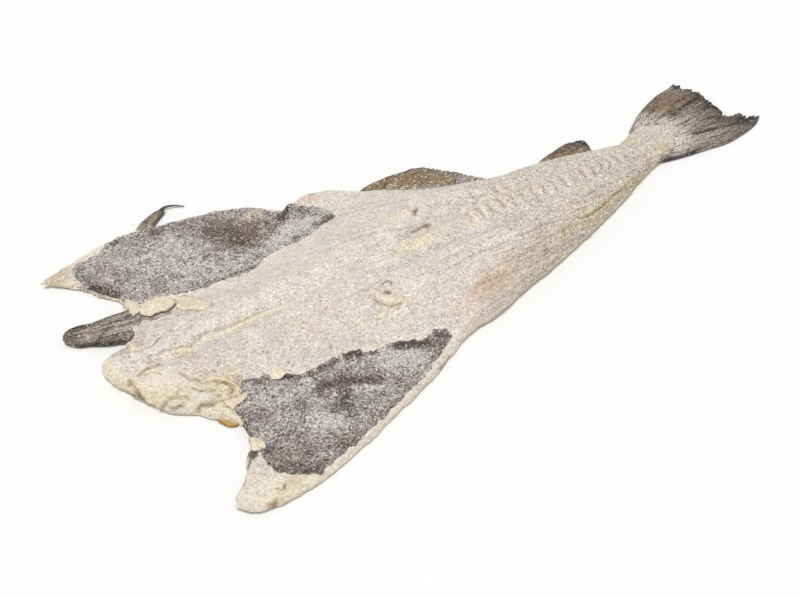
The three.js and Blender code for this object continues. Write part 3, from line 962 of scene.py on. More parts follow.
FAR_LINING_INNER = [
    [-236, 121], [-232, 112], [-222, 94], [-214, 80], [-208, 69], [-200, 67], [-185, 65],
    [-178, 62], [-165, 58], [-150, 55], [-130, 54], [-115, 51], [-100, 52], [-90, 58], [-78, 61],
    [-60, 62], [-35, 62], [-20, 66], [-10, 67], [-3, 71], [-1, 79],
]
FAR_LINING_OUTER = [
    [-236, 129], [-234, 140], [-230, 148], [-215, 151], [-200, 155], [-192, 163], [-180, 166],
    [-120, 156], [-84, 145], [-62, 135], [-52, 125], [-44, 114], [-36, 109], [-28, 115],
    [-20, 107], [-8, 97], [-1, 85],
]
NEAR_LINING_INNER = [
    [-213, -147], [-208, -133], [-205, -110], [-203, -87], [-195, -83], [-189, -72],
    [-184, -67], [-170, -70], [-150, -77], [-140, -84], [-120, -86], [-90, -89], [-80, -96],
    [-60, -99], [-45, -105], [-35, -110], [-22, -108], [-15, -113], [-13, -118],
]
NEAR_LINING_OUTER = [
    [-213, -151], [-210, -163], [-203, -171], [-195, -178], [-187, -184], [-180, -183],
    [-160, -177], [-140, -173], [-120, -166], [-100, -160], [-80, -153], [-65, -148],
    [-52, -143], [-45, -137], [-35, -135], [-28, -130], [-20, -126], [-13, -121],
]
LINING_WIDTH = 98
LINING_CELL = 0.85
LINING_LIFT = 0.5
LINING_BURIED = 0.35
LINING_BORDER = 1.6
LINING_HEM = 0.5
LINING_INSET = 0.6

# Stripes and ovals of each tone, as for the stains of the flesh.
LINING_TONES = {
    "dark": (
        [([[-142, -107], [-127, -109], [-116, -112], [-106, -117], [-96, -123], [-86, -130]], 8, 0.85),
         ([[-180, -181], [-140, -172], [-100, -159], [-65, -147]], 5, 0.45),
         ([[-185, -69], [-173, -71], [-161, -75]], 5, 0.6),
         ([[-160, -76], [-151, -80], [-140, -87]], 5, 1.0),
         ([[-138, -87], [-120, -90], [-106, -91]], 4, 0.8), ([[-101, -90], [-85, -94]], 5, 1.0),
         ([[-82, -98], [-74, -100]], 4, 0.8),
         ([[-62, -103], [-52, -107], [-43, -110], [-34, -115]], 6, 1.0),
         ([[-27, -113], [-19, -115], [-15, -122]], 7, 0.6),
         ([[-23, -124], [-31, -133], [-44, -139]], 5, 0.6),
         ([[-212, -156], [-203, -168], [-193, -176], [-183, -183]], 8, 0.7),
         ([[-208, -140], [-205, -115], [-202, -92]], 3, 0.7),
         ([[-233, 115], [-224, 101], [-214, 86]], 6, 0.9),
         ([[-27, 113], [-38, 104], [-45, 96]], 4, 1.0), ([[-25, 104], [-20, 95], [-17, 85]], 5, 0.7),
         ([[-25, 71], [-12, 71], [-3, 75]], 4.5, 1.0), ([[-165, 57], [-130, 57], [-98, 55]], 3.5, 0.6),
         ([[-85, 76], [-72, 82], [-56, 92], [-42, 97]], 2, 0.3),
         ([[-192, 168], [-188, 160], [-182, 154]], 4, 0.7), ([[-155, 153], [-138, 148]], 6, 0.5)],
        [(-158, -115, 8, 6, 0, 0.8), (-193, -104, 8, 11, 0, 0.5), (-141, -134, 7, 8, 0, 0.6),
         (-129, -137, 7, 12, 0, 0.75), (-180, -160, 9, 8, 0, 0.5), (-204, -140, 8, 8, 0, 0.6),
         (-181, -133, 7, 8, 0, 0.35), (-123, -127, 6, 7, 0, 0.7), (-32, -119, 12, 8, 0, 0.6),
         (-104, -145, 26, 10, 15, 0.25), (-75, -139, 18, 7, 15, 0.15),
         (-160, -160, 20, 9, 0, 0.25), (-178, -118, 10, 8, 0, 0.15), (-100, 112, 22, 20, 0, 0.5),
         (-86, 88, 18, 10, -20, 0.45), (-49, 67, 3.4, 3, 0, 1.0), (-119, 83, 4, 7, 0, 0.5),
         (-28, 92, 4, 5, 0, 0.6), (-229, 128, 8, 18, 0, 0.4), (-165, 150, 26, 8, 0, 0.3),
         (-122, 140, 18, 12, 0, 0.3), (-182, 85, 6, 6, 0, 0.3), (-200, 110, 14, 10, 0, 0.2)],
    ),
    "brown": (
        [([[-160, -165], [-152, -168], [-144, -172]], 8, 0.8),
         ([[-140, -163], [-110, -157], [-85, -148]], 5, 0.3),
         ([[-142, -107], [-116, -112], [-86, -130]], 9, 0.5),
         ([[-113, 130], [-98, 119], [-84, 108], [-68, 98]], 17, 0.9)],
        [(-92, 93, 20, 9, -20, 0.8), (-60, 104, 18, 12, 0, 0.5), (-195, -155, 18, 22, 0, 0.5),
         (-42, 104, 9, 7, 0, 0.6), (-140, 145, 26, 12, 0, 0.3), (-222, 105, 10, 20, 30, 0.5),
         (-186, -178, 12, 8, 0, 0.6)],
    ),
    "ochre": ([([[-74, 116], [-64, 120], [-54, 118]], 6, 0.9)], [(-46, 125, 6, 4, -40, 0.7)]),
    "pale": (
        [([[-134, -107], [-131, -115], [-127, -127]], 1.4, 0.9),
         ([[-136, 146], [-144, 130], [-144, 115], [-140, 102]], 7, 0.7),
         ([[-79, 72], [-63, 76], [-43, 81], [-27, 83], [-12, 84]], 9, 1.0),
         ([[-81, -106], [-69, -112], [-58, -121], [-50, -132]], 9, 1.0),
         ([[-115, -124], [-104, -129], [-93, -138]], 4, 0.9),
         ([[-113, -153], [-100, -153], [-86, -150]], 4, 0.4),
         ([[-163, -128], [-153, -138], [-143, -151]], 8, 0.75),
         ([[-185, -84], [-174, -96], [-156, -104], [-151, -117]], 7, 0.3),
         ([[-184, 108], [-154, 95], [-148, 84], [-140, 77], [-110, 66]], 12, 0.35)],
        [(-89, 96, 3.0, 2.2, 0, 1.0), (-84, 86, 3.4, 2.0, 0, 1.0), (-106, 106, 2.2, 1.8, 0, 1.0),
         (-117, 100, 2.2, 2.2, 0, 0.9), (-130, 106, 2.0, 3, 0, 0.7), (-119, 105, 1.6, 1.6, 0, 0.8),
         (-82, 116, 2.6, 1.4, 0, 0.9), (-68, 135, 5, 3, 0, 0.5), (-28, 84, 4, 3, 0, 0.6),
         (-175, 126, 14, 14, 0, 0.25), (-120, 60, 24, 5, 0, 0.3)],
    ),
}

LINING_LIGHT = paint(208, 205, 202)
LINING_SOFT = paint(178, 168, 163)
LINING_GREY = paint(162, 152, 147)
LINING_DARK = paint(66, 55, 52)
LINING_BROWN = paint(110, 86, 76)
LINING_OCHRE = paint(196, 176, 142)


def draw_lining(w):
    """Dried peritoneum: grey, with patches of brown, dark, ochre and pale by the vertex
    numbers, all broken up into a crisp light and dark speckle, with painted shade in the hollows and
    specks of salt."""
    blotch = w.noise(8, 4, 0.65)
    mottle = w.noise(2.4, 4, 0.75, twist=0.6)
    grit = w.noise(1.8, 3, 0.75)
    dark, pale = w.value("dark"), w.value("pale")
    brown = (w.value("brown") + w.noise(17, 3, 0.6).ease(0.55, 0.7) * 0.35).limit()
    uneven = (blotch - 0.5) * 1.2 + (mottle - 0.5) * 1.6
    colour = LINING_GREY
    for tone, amount in ((LINING_BROWN, brown), (LINING_DARK, dark), (LINING_OCHRE, w.value("ochre"))):
        colour = (amount * 0.9 + uneven * amount.ease(0, 0.35)).limit().mix(colour, tone)
    level = (mottle - 0.5) * 0.75 + 0.5 + (blotch - 0.5) * 0.35 + (grit - 0.5) * 0.6
    light = (level + pale * 0.11 - dark * 0.08 - brown * 0.05).ease(0.46, 0.6)
    lit = (dark * 0.6 + brown * 0.4 - pale * 0.5).limit().mix(LINING_LIGHT, LINING_SOFT)
    colour = (light * 0.82).mix(colour, lit)
    specks = 1 - (level + pale * 0.07 - dark * 0.03).ease(0.38, 0.45)
    colour = (specks * 0.9).mix(colour, LINING_DARK)
    # Painted shade: darker in the hollows.
    colour = (1.05 + (grit - 0.5) * 3.2 - w.value("hollow") * 0.2).lighten(colour)
    salt = (1 - w.crystals(2.1).ease(0.12, 0.38)) * w.noise(4, 3, 0.7).ease(0.42, 0.62)
    colour = (salt * 0.7).mix(colour, SALT_WHITE)
    return colour, 0.72 - specks * 0.2, mottle * 1.3 + grit * 1.0 + salt * 0.3


lining_finish = new_material("lining_finish", draw_lining, Specular_IOR_Level=0.35)


def lining(name, inner, outer, seed):
    """A sheet that lies on the flesh between an inner and an outer line along X. Its outline is
    frayed by shifting its places a little, kept on the fish, and raised into a low hem inside
    its border, which dips into the flesh."""
    start, end = inner[0][0], inner[-1][0]
    along = np.linspace(start, end, int((end - start) / LINING_CELL))
    share = np.linspace(0, 1, int(LINING_WIDTH / LINING_CELL))
    x, share = np.meshgrid(along, share, indexing="ij")
    one, other = curve(inner)(x), curve(outer)(x)
    low, high = np.minimum(one, other), np.maximum(one, other)
    y = blend(low, high, share)
    border = np.minimum.reduce((y - low, high - y, x - start, end - x))
    uneven = shaken(x, y, 2.2, 8, seed)
    tones = {tone: marks(*uneven, *shapes) for tone, shapes in LINING_TONES.items()}
    x, y = shaken(x, y, 1.5, 6, seed + 2)
    lift = blend(-LINING_BURIED, LINING_LIFT, rising(border, 0, LINING_BORDER))
    lift = lift + LINING_HEM * bell(border - 3, 1.8)
    lift = lift + 0.35 * waves(x, y, 8, seed + 4, 3) * rising(border, 1, 5)
    far_in, near_in, front_in = insets(x, y)[:3]
    y = y + np.minimum(far_in - LINING_INSET, 0) - np.minimum(near_in - LINING_INSET, 0)
    lift = blend(-LINING_BURIED, lift, rising(np.minimum.reduce((far_in, near_in, front_in)), 0.4, 2.4))
    points = on_flesh(x, y, lift)
    faces = quads(*points.shape[:2])
    mesh = new_mesh(name, points, faces)
    add_values(mesh, **{tone: np.clip(amount, 0, 1) for tone, amount in tones.items()})
    # How far each place lies below its neighbours, for the painted shade in the lining's hollows.
    add_values(mesh, hollow=hollows(relief(x, y) + lift, 3))
    add_layout(mesh, faces, *points.shape[:2])
    add_piece(name, mesh, lining_finish)


lining("lining_far", FAR_LINING_INNER, FAR_LINING_OUTER, 40)
lining("lining_near", NEAR_LINING_INNER, NEAR_LINING_OUTER, 50)


# ---- The membranes ----
# Thin scraps of collar skin and belly membrane that the knife left: a cream plate, a fold and
# a veil beside the neck, a pointed flap and two flakes round the near lining, a scrap on the
# middle lip, and an amber shred in the near notch. They dried stiff, with curled edges.


def along_line(points, share):
    """Places at these shares of the length of a smooth line."""
    line = smooth_line(points)
    run = np.r_[0, np.cumsum(np.linalg.norm(np.diff(line, axis=0), axis=1))]
    return np.stack([np.interp(share * run[-1], run, column) for column in line.T], -1)


MEMBRANE_CREAM = paint(232, 219, 195)
MEMBRANE_WHITE = paint(236, 229, 216)
MEMBRANE_AMBER = paint(168, 118, 8)
MEMBRANE_BROWN = paint(186, 162, 126)


def draw_membrane(w):
    """Stiff dried membrane: waxy cream, whiter in patches, amber where it is thin, brown along
    its dried edges, with fine wrinkles."""
    wrinkles = w.noise(2.8, 4, 0.65, w.place((1, 0.4, 1)), twist=0.5)
    colour = (w.noise(9, 2).ease(0.4, 0.65) * 0.7).mix(MEMBRANE_CREAM, MEMBRANE_WHITE)
    colour = (w.value("amber") * (0.75 + w.noise(4) * 0.5)).limit().mix(colour, MEMBRANE_AMBER)
    colour = (w.value("rim") * w.noise(3).ease(0.4, 0.6)).limit().mix(colour, MEMBRANE_BROWN)
    colour = (w.crack(6, 0.03) * 0.5).mix(colour, MEMBRANE_BROWN)
    colour = (1.0 + (wrinkles - 0.5) * 0.9 + (w.noise(1.8, 2) - 0.5) * 0.4).lighten(colour)
    return colour, 0.45 + wrinkles * 0.3, wrinkles * 1.6 + w.noise(1.2, 2) * 0.25


membrane_finish = new_material("membrane_finish", draw_membrane, Specular_IOR_Level=0.25)

MEMBRANE_THICKNESS = 0.6
MEMBRANE_STEPS = (60, 30)
MEMBRANES = {  # lower line, upper line, lift of the lower, middle and upper part, amber share
    "collar_plate": (
        [[-212, 57], [-210.5, 51.5], [-206, 47.5], [-202.5, 45.5], [-193, 43.5], [-186, 44.5],
         [-181.5, 50]],
        [[-211.5, 60], [-208.5, 66], [-205, 68], [-198.5, 68], [-190.5, 67.5], [-184, 65],
         [-181, 58]],
        (2.4, 2.0, 0.6), 0.06),
    "collar_fold": (
        [[-221, 61], [-217.5, 57.5], [-213, 57], [-210, 57]],
        [[-222, 69], [-217, 77], [-212, 79], [-206, 70]],
        (1.2, 1.8, 0.6), 0.12),
    "collar_veil": (
        [[-184, 42], [-181, 30], [-176.5, 20.5], [-171.5, 15.8], [-163, 17]],
        [[-179, 57], [-170, 56.5], [-164.5, 48], [-161.5, 33], [-161, 19]],
        (0.3, 0.7, 0.3), 0.1),
    "collar_flap": (
        [[-206, -89], [-203.5, -89], [-197, -86.5], [-191.5, -84], [-186, -79.5]],
        [[-207, -76], [-201, -75.5], [-196, -77], [-190, -77.5], [-185.5, -78]],
        (1.8, 1.3, 0.6), 0.1),
    "notch_flake": (
        [[-215, -136], [-211, -129], [-208, -121]],
        [[-207, -140], [-202.5, -134], [-204, -125]],
        (1.6, 1.4, 0.4), 0.12),
    "edge_flake": (
        [[-163, -77.5], [-160, -79.5], [-154.5, -81], [-149.5, -79]],
        [[-163, -74], [-158.5, -72], [-154, -68.5], [-149.5, -76]],
        (1.8, 1.2, 0.4), 0.0),
    "middle_scrap": (
        [[-51.5, -62], [-50, -68], [-46, -73], [-40.5, -76], [-34.5, -77.5], [-29.5, -76]],
        [[-45, -58], [-44, -65], [-41, -69], [-37, -72], [-33, -73.5], [-29, -73.5]],
        (0.2, 0.9, 0.1), 0.05),
}


def add_membrane(name, places, height, amber):
    """A stiff sheet over a grid of places with uneven outlines. height(x, y) gives its points,
    and a modifier gives it its thickness."""
    x, y = shaken(places[..., 0], places[..., 1], 0.7, 5, 61)
    points = height(x, y)
    mesh = new_mesh(name, points, quads(*points.shape[:2]))
    along, across = np.meshgrid(*(np.linspace(0, 1, n) for n in points.shape[:2]), indexing="ij")
    border = np.minimum.reduce((across, 1 - across, along, 1 - along))
    add_values(mesh, amber=amber + 0 * x, rim=1 - rising(border, 0, 0.1))
    piece = add_piece(name, mesh, membrane_finish)
    solid = piece.modifiers.new("thickness", "SOLIDIFY")
    solid.thickness = MEMBRANE_THICKNESS / 1000
    solid.offset = 0


for name, (lower, upper, lifts, amber) in MEMBRANES.items():
    share, up = (np.linspace(0, 1, steps) for steps in MEMBRANE_STEPS)
    low, high = along_line(lower, share), along_line(upper, share)
    lift = curve([[0, lifts[0]], [0.5, lifts[1]], [1, lifts[2]]])(up)[None]
    add_membrane(name, blend(low[:, None], high[:, None], up[:, None]),
                 lambda x, y: on_flesh(x, y, lift + 0.5 * waves(x, y, 7, 63, 2)), amber)

SHRED_RIM = [[-218, -79, 7], [-213, -87, 6], [-209, -94, 5], [-207, -100, 4]]
SHRED_HEM = [[-219, -83, 2.5], [-217.5, -90, 1.2], [-214.5, -97, 1.2], [-209, -101, 2.5]]
SHRED_STEPS = (40, 16)
share, down = (np.linspace(0, 1, steps) for steps in SHRED_STEPS)
hanging = blend(along_line(SHRED_HEM, share)[:, None], along_line(SHRED_RIM, share)[:, None],
                down[:, None])[:, ::-1]
add_membrane("notch_shred", hanging, lambda x, y: np.stack([x, y, hanging[..., 2]], -1),
             np.linspace(0.35, 1, SHRED_STEPS[1]))


# ---- The fins ----
# Tail, two anal fins, one pectoral and one pelvic fin, of horny rays with a thin web between
# them. They grow out of the flesh, lie flat on the board, and dried brittle with ragged ends.

FIN_WEB = paint(82, 69, 62)
FIN_RAY = paint(170, 158, 145)
FIN_TONES = {
    "pale": paint(198, 190, 176),
    "amber": paint(143, 119, 83),
    "brown": paint(116, 88, 62),
    "dark": paint(46, 37, 33),
}


def draw_fin(w):
    """Dried fin: rays lighter than the web, pale with skin, amber, brown and dark by the vertex
    numbers, streaked along the rays, with dark specks and grains of salt. ray and out are the
    millimetres across and along the rays."""
    ray, out, rib = w.value("ray"), w.value("out"), w.value("rib")
    streaks = w.noise(1000, 2, 0.6, w.node("CombineXYZ", {0: ray * 0.5, 1: out * 0.03}))
    grain = w.noise(2.6, 3, 0.7)
    uneven = (streaks - 0.5) * 1.5 + (grain - 0.5) * 1.5
    colour = (0.3 + rib * 0.15 + uneven * 0.9).limit().mix(FIN_WEB, FIN_RAY)
    for name, tone in FIN_TONES.items():
        amount = w.value(name)
        colour = (amount + uneven * 0.5 * amount.ease(0, 0.4)).limit().mix(colour, tone)
    specks = 1 - (grain + (streaks - 0.5) * 0.5).ease(0.36, 0.5)
    bright = 1.06 - specks * 0.6 + (streaks - 0.5) * 1.2 + (w.noise(1.8, 2) - 0.5) * 2
    colour = bright.lighten(colour)
    salt = (1 - w.crystals(2.8).ease(0.2, 0.42)) * w.noise(6, 3, 0.7).ease(0.42, 0.56)
    colour = (salt * w.value("salty")).mix(colour, SALT_WHITE)
    return colour, 0.5 + grain * 0.3, streaks * 0.9 + grain * 0.9 + salt * 0.3


# Lines round each blade, its number of rays, its height and thickness at the root and at the
# edge, how far its rays end short, and its tones as for the stains of the flesh.
FINS = {
    "tail_fin": dict(
        root=[[314, 12], [331, 5], [335, -7], [330, -21], [312, -36]],
        first=[[314, 12], [323, 22], [336, 30.5], [350, 39], [370, 48], [385, 53.5], [400, 57.5],
               [415, 60], [427, 64]],
        last=[[312, -36], [325, -39], [336, -41.5], [348, -43.5], [359, -45], [372, -47],
              [387, -49.5], [403, -49], [425, -46], [440, -42], [450, -37]],
        edge=[[427, 64], [431, 57], [429, 50], [434, 42], [436, 33], [433, 22], [435, 17],
              [431, 10], [432, 2], [428, -8], [427, -12], [436, -16], [444, -20], [442, -24],
              [449, -28], [456, -32], [450, -37]],
        rays=42, heights=(2.3, 2.8, 1.3, 0.8), ragged=5, salty=0.28,
        tones={
            "pale": ([([[322, 24], [345, 25], [362, 10], [362, -8], [345, -26], [325, -34]], 13, 0.8),
                      ([[342, 33], [360, 30], [378, 22]], 7, 0.6)],
                     [(372, 4, 16, 16, 0, 0.22), (378, -26, 32, 11, 0, 0.35), (405, -34, 22, 7, 0, 0.15),
                      (398, 0, 16, 12, 0, 0.2)]),
            "amber": ([([[368, 29], [386, 36], [404, 39], [424, 37]], 10, 0.5)],
                      [(388, 32, 14, 6, 20, 0.35)]),
            "brown": ([([[360, 34], [380, 42], [405, 48]], 11, 0.45)], [(408, 30, 18, 8, 10, 0.6)]),
            "dark": ([([[388, 21], [415, 26], [434, 30]], 2.2, 0.9), ([[412, 10], [432, 10]], 4, 0.5),
                      ([[352, 18], [372, 24], [395, 30]], 1.2, 0.6), ([[372, -20], [398, -26]], 1.1, 0.9),
                      ([[366, -13], [400, -17], [420, -20]], 1.0, 0.7),
                      ([[380, -33], [410, -38]], 1.0, 0.7),
                      ([[395, -6], [420, -8]], 1.1, 0.7), ([[404, -28], [440, -32]], 1.2, 0.8),
                      ([[310, -35.5], [325, -38.5], [340, -41.5], [354, -44]], 2.2, 0.9),
                      *(([[342 + 3.2 * k, 28.5 - 1.1 * k], [353 + 3 * k, 37 - 1.5 * k]], 0.6, 0.7)
                        for k in range(12)),
                      ([[322, 21], [350, 39], [370, 48]], 2, 0.45),
                      ([[420, 62], [431, 52], [434, 36], [434, 16], [428, -6]], 6, 0.85),
                      ([[405, -48], [425, -46], [445, -41]], 2, 0.5), ([[343, 18], [356, 12]], 1.5, 0.6)],
                     [(440, -29, 26, 14, 0, 0.95), (420, -6, 18, 12, 0, 0.55), (422, 40, 10, 14, 0, 0.35),
                      (355, -41, 12, 3, -5, 0.5), (415, 24, 12, 6, 0, 0.3),
                      (382, -20, 12, 2.5, -15, 0.8), (398, -24, 8, 2, -15, 0.8), (385, 16, 6, 3, 0, 0.5),
                      (430, 15, 8, 14, 0, 0.6)]),
        }),
    "first_anal_fin": dict(
        root=[[34, 82], [60, 71], [85, 56], [110, 45], [135, 35], [150, 27]],
        first=[[34, 82], [36, 92], [45, 97.5], [60, 100.5], [80, 101], [94, 100], [105, 99]],
        last=[[150, 27], [154, 34], [157, 40]],
        edge=[[105, 99], [113, 96], [119, 92], [131, 79], [139, 68], [147, 56], [157, 40]],
        rays=34, heights=(4.6, 3.2, 1.6, 0.8), ragged=3.2, salty=0.95,
        tones={
            "pale": ([([[34, 86], [60, 76], [85, 61], [110, 49], [135, 39], [152, 31]], 6, 0.8)],
                     [(138, 56, 14, 12, -45, 0.6)]),
            "amber": ([([[45, 94], [75, 86], [105, 74], [130, 58]], 13, 0.9)], [(82, 92, 26, 9, -5, 0.4)]),
            "brown": ([([[75, 97], [100, 92], [125, 76], [145, 52]], 8, 0.35)], []),
            "dark": ([([[105, 99], [119, 92], [139, 68], [157, 40]], 3, 0.4),
                      ([[38, 101], [100, 101]], 2, 0.5)], []),
        }),
    "second_anal_fin": dict(
        root=[[206, 24], [225, 16], [245, 9], [264, 2]],
        first=[[205, 24], [208, 29.5], [213, 33.2], [223, 36.6], [235, 39.8], [243, 41.8]],
        last=[[264, 2], [267, 8], [268, 14]],
        edge=[[243, 41.8], [255, 44], [264, 43], [274, 41], [277, 37], [275, 30.5], [272, 24], [268, 14]],
        rays=26, heights=(4.6, 3, 1.6, 0.8), ragged=2.4,
        tones={
            "pale": ([([[206, 28], [225, 20], [245, 13], [264, 6]], 4, 0.5)], []),
            "amber": ([([[212, 31], [232, 32], [252, 26], [266, 18]], 10, 0.85)], []),
            "brown": ([([[215, 36], [240, 39], [268, 34]], 9, 0.6)], []),
            "dark": ([([[258, 43], [274, 40], [274, 24]], 4.5, 0.95),
                      ([[209, 31], [226, 37.5], [250, 43]], 1.6, 0.5)],
                     [(246, 36, 18, 7, -5, 0.35), (271, 34, 9, 9, 0, 0.6)]),
        }),
    "pectoral_fin": dict(
        root=[[-228, 32], [-214, 50], [-207, 65]],
        first=[[-228, 32], [-236, 33.5], [-241, 36.5], [-249, 40], [-256, 44.5], [-262, 49],
               [-270, 53], [-275, 58]],
        last=[[-207, 65], [-215, 68], [-224, 69.5], [-233, 71.5], [-242, 73], [-251, 74.5],
              [-258, 77], [-267, 78.5], [-273, 77]],
        edge=[[-275, 58], [-278, 63], [-278, 67], [-276.5, 72.5], [-273, 77]],
        rays=18, heights=(5, 4, 1.6, 1.2), ragged=1.6,
        tones={
            "pale": ([], [(-226, 52, 12, 14, 0, 0.3), (-244, 58, 16, 10, 20, 0.2)]),
            "amber": ([([[-225, 66], [-245, 66], [-262, 66]], 9, 0.2)], []),
            "dark": ([([[-222, 70], [-245, 73], [-270, 78]], 3, 0.9),
                      ([[-236, 34], [-255, 44], [-272, 55]], 3.5, 0.8)],
                     [(-272, 66, 8, 14, 0, 0.5), (-250, 52, 12, 2.5, 35, 0.6)]),
        }),
    "pelvic_fin": dict(
        root=[[-164, 161], [-157, 158], [-150, 155]],
        first=[[-164, 161], [-158, 168.5], [-150, 174.5], [-142, 178.5], [-132, 182.5]],
        last=[[-150, 155], [-145, 162], [-138, 168], [-130, 173.5], [-123, 178.5]],
        edge=[[-132, 182.5], [-127, 182], [-123, 178.5]],
        rays=6, heights=(3.6, 3, 2.4, 1.4), ragged=1.0,
        tones={
            "pale": ([], [(-158, 161, 6, 7, 0, 0.7), (-144, 170, 18, 7, 40, 0.4)]),
            "amber": ([([[-158, 162], [-145, 171], [-128, 179]], 3.6, 0.7)], []),
            "dark": ([([[-160, 167], [-148, 176], [-130, 183]], 1.3, 0.9),
                      ([[-146, 163], [-136, 170], [-124, 178]], 1.2, 0.8)], [(-127, 181, 5, 4, 0, 0.8)]),
        }),
}
STEPS_PER_RAY = 8
STEPS_OUT = 56
RIB = 0.4
WEB_SHORT = 1.6  # how far the web ends short of its rays
LEAST_LENGTH = 0.4  # what is left of the shortest ray, as a share
BLADE_LIFT = 0.15  # least gap between the blade and the board
BLADE_WAVE = 0.8

fin_finish = new_material("fin_finish", draw_fin)


def fin(name, root, first, last, edge, rays, heights, ragged, tones, seed, salty=0.5):
    """A blade filled in between its root, its outer edge and its first and last ray, as a
    patch bounded by four lines. Every ray ends a little short by chance, and the web between
    two rays shorter still. A rib runs along each ray. The upper and under side are one
    closed wrap."""
    rng = np.random.default_rng(seed)
    across = np.linspace(0, 1, rays * STEPS_PER_RAY + 1)[:, None]
    out = np.linspace(0, 1, STEPS_OUT)[None]
    ray = across * rays
    phase = np.abs(ray % 1 - 0.5) * 2
    length = np.linalg.norm(along_line(edge, across) - along_line(root, across), axis=-1)
    shortfall = rng.random(rays + 1)[np.floor(ray).astype(int)] * ragged + WEB_SHORT * phase**2
    reach = out * np.maximum(1 - shortfall / np.maximum(length, 6), LEAST_LENGTH)
    across = np.broadcast_to(across, reach.shape)
    a, r = across[..., None], reach[..., None]
    corners = blend(blend(np.array(root[0]), np.array(root[-1]), a),
                    blend(np.array(edge[0]), np.array(edge[-1]), a), r)
    place = (blend(along_line(root, across), along_line(edge, across), r)
             + blend(along_line(first, reach), along_line(last, reach), a) - corners)
    x, y = place[..., 0], place[..., 1]
    root_height, root_thickness, edge_height, edge_thickness = heights
    narrow = round_off(np.minimum(across, 1 - across), 0.04)
    half = 0.5 * blend(root_thickness, edge_thickness, reach) * narrow
    middle = blend(root_height, edge_height, reach) + BLADE_WAVE * waves(x, y, 22, seed + 1, 2) * reach
    middle = np.maximum(middle, half + BLADE_LIFT)
    rib = (1 - phase**2) * rising(out, 0.1, 0.3)
    rise = RIB * rib * narrow * (1 - 0.5 * reach) + 0.25 * waves(x, y, 3, seed + 2, 2) * narrow
    above = np.stack([x, y, middle + half + rise], -1)
    below = np.stack([x, y, middle - half], -1)
    points = np.concatenate([above, below[:, ::-1]], 1)
    mesh = new_mesh(name, points, quads(*points.shape[:2]))
    marked = {tone: np.clip(marks(x, y, *tones.get(tone, ((), ()))), 0, 1) for tone in FIN_TONES}
    wide = np.linalg.norm(along_line(first, 0.5) - along_line(last, 0.5))
    marked.update(ray=across * wide + 300 * seed, out=reach * length, rib=rib + 0 * x,
                  salty=salty + 0 * x)
    add_values(mesh, **{k: np.concatenate([v, v[:, ::-1]], 1) for k, v in marked.items()})
    add_piece(name, mesh, fin_finish)


FIRST_FIN_SEED = 70
for seed, (name, shape) in enumerate(FINS.items(), FIRST_FIN_SEED):
    fin(name, seed=seed, **shape)


STRAND_STEPS = (50, 13)


def strand(name, path, thick, thin):
    """A dried ray that stands free: a round tube along a smooth line, thinner to its end."""
    t = np.linspace(0, 1, STRAND_STEPS[0])
    line = along_line(path, t)
    ahead = np.gradient(line, axis=0)
    ahead /= np.linalg.norm(ahead, axis=1, keepdims=True)
    left = np.cross([0, 0, 1], ahead)
    left /= np.linalg.norm(left, axis=1, keepdims=True)
    upward = np.cross(ahead, left)
    turn = np.linspace(0, 2 * np.pi, STRAND_STEPS[1])[None, :, None]
    radius = blend(thick, thin, t)[:, None, None]
    points = line[:, None] + radius * (np.cos(turn) * left[:, None] + np.sin(turn) * upward[:, None])
    mesh = new_mesh(name, points, quads(*points.shape[:2]))
    zeros = np.zeros(points.shape[:2])
    add_values(mesh, **dict.fromkeys(("ray", "rib", "pale", "brown", "salty"), zeros),
               out=zeros + 60 * t[:, None], amber=zeros + 0.3, dark=zeros + 0.6)
    add_piece(name, mesh, fin_finish)


FILAMENT = [[-130, 180.5, 2.4], [-123, 183, 3], [-115, 181.5, 3], [-105, 176, 1.4]]
strand("pelvic_filament", FILAMENT, 1.5, 0.5)


# ---- The salt ----
# Loose crystals of curing salt, a quarter to 0.6 mm across, stuck all over the flesh and the
# lining, with a few flat flakes of up to 1.3 mm. They dried on with the brine.

SALT_COUNT = 6500
FLAKE_COUNT = 120
SALT_SIZE = (0.25, 0.6)
FLAKE_SIZE = (0.7, 1.3)
FLAKE_FLATNESS = 0.4
SALT_LIFT = 0.45  # off the flesh, so that grains on the lining show too
SALT_AREA = ((-262, -188), (350, 166))
SALT_TRIES = 30000
SALT_INSET = 2
SALT_CLEAR = paint(222, 220, 216)
SALT_CLOUDY = paint(250, 249, 246)


def draw_salt(w):
    """Clear to white crystals."""
    cloudy = w.noise(0.8, 2)
    colour = cloudy.ease(0.3, 0.7).mix(SALT_CLEAR, SALT_CLOUDY)
    return colour, 0.3 + cloudy * 0.3, cloudy * 0.2


salt_finish = new_material("salt_finish", draw_salt)
rng = np.random.default_rng(90)
tried = rng.uniform(*SALT_AREA, (SALT_TRIES, 2))
on_fish = np.minimum.reduce(insets(*tried.T)) > SALT_INSET
middles = tried[on_fish][:SALT_COUNT + FLAKE_COUNT]
size = np.r_[rng.uniform(*SALT_SIZE, SALT_COUNT), rng.uniform(*FLAKE_SIZE, FLAKE_COUNT)]
stretch = rng.uniform(0.7, 1, (len(size), 3))
stretch[SALT_COUNT:, 2] *= FLAKE_FLATNESS
turns = np.linalg.qr(rng.normal(size=(len(size), 3, 3)))[0]
turns *= np.sign(np.linalg.det(turns))[:, None, None]
turns[SALT_COUNT:] = np.eye(3)
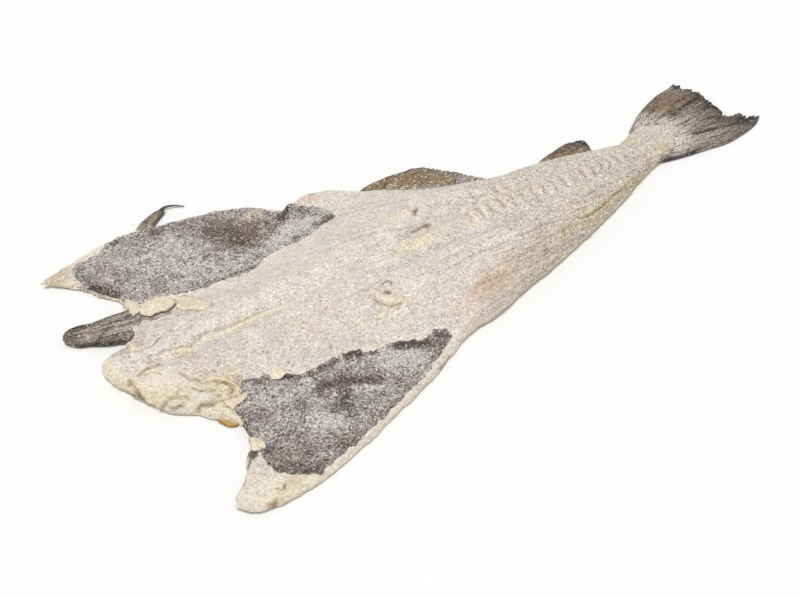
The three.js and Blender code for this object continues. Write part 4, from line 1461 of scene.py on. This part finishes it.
# Each grain is a block of its own size, stretched and turned by chance, with 8 corners.
corners = np.array([[a, b, c] for a in (-0.5, 0.5) for b in (-0.5, 0.5) for c in (-0.5, 0.5)])
sides = np.array([[0, 1, 3, 2], [4, 6, 7, 5], [0, 4, 5, 1], [2, 3, 7, 6], [0, 2, 6, 4], [1, 5, 7, 3]])
grains = (corners * (size[:, None] * stretch)[:, None]) @ turns
grains += on_flesh(*middles.T, SALT_LIFT + 0.1 * size)[:, None]
faces = (sides[None] + len(corners) * np.arange(len(size))[:, None, None]).reshape(-1, 4)
mesh = new_mesh("salt_grains", grains, faces)
mesh.polygons.foreach_set("use_smooth", np.zeros(len(mesh.polygons), bool))
add_piece("salt_grains", mesh, salt_finish)


# ---- The stage ----
# A plain pale floor that the fish lies on, soft light from high up on the left and from all
# round, and the camera in front of the neck.

FLOOR_HALF_WIDTH = 6
floor_mesh = bpy.data.meshes.new("floor")
floor_corners = [(FLOOR_HALF_WIDTH * x, FLOOR_HALF_WIDTH * y, 0)
                 for x, y in ((-1, -1), (1, -1), (1, 1), (-1, 1))]
floor_mesh.from_pydata(floor_corners, [], [(0, 1, 2, 3)])
floor = bpy.data.objects.new("floor", floor_mesh)
bpy.context.scene.collection.objects.link(floor)
floor_paint = bpy.data.materials.new("floor_paint")
floor_paint.use_nodes = True
floor_shader = floor_paint.node_tree.nodes["Principled BSDF"]
floor_shader.inputs["Base Color"].default_value = (0.86, 0.86, 0.86, 1)
floor_shader.inputs["Roughness"].default_value = 0.9
floor_mesh.materials.append(floor_paint)

CAMERA_PLACE = Vector((-0.6012, -0.7419, 0.742))
CAMERA_AIM = Vector((-0.1037, -0.0483, 0))
camera = bpy.data.objects.new("camera", bpy.data.cameras.new("camera"))
camera.data.lens = 58.5
camera.data.sensor_width = 36
camera.location = CAMERA_PLACE
camera.rotation_euler = (CAMERA_AIM - CAMERA_PLACE).to_track_quat("-Z", "Y").to_euler()
bpy.context.scene.collection.objects.link(camera)
bpy.context.scene.camera = camera

world = bpy.data.worlds.new("studio")
world.use_nodes = True
sky = world.node_tree.nodes["Background"]
sky.inputs["Color"].default_value = (0.98, 0.99, 1, 1)
sky.inputs["Strength"].default_value = 0.56
bpy.context.scene.world = world

KEY_FROM = Vector((-0.3, -0.16, 1))
key = bpy.data.objects.new("key", bpy.data.lights.new("key", "SUN"))
key.data.energy = 2.0
key.data.angle = 0.35
key.data.color = (1, 0.99, 0.975)
key.rotation_euler = KEY_FROM.to_track_quat("Z", "Y").to_euler()
bpy.context.scene.collection.objects.link(key)
bpy.context.scene.view_settings.view_transform = "Standard"
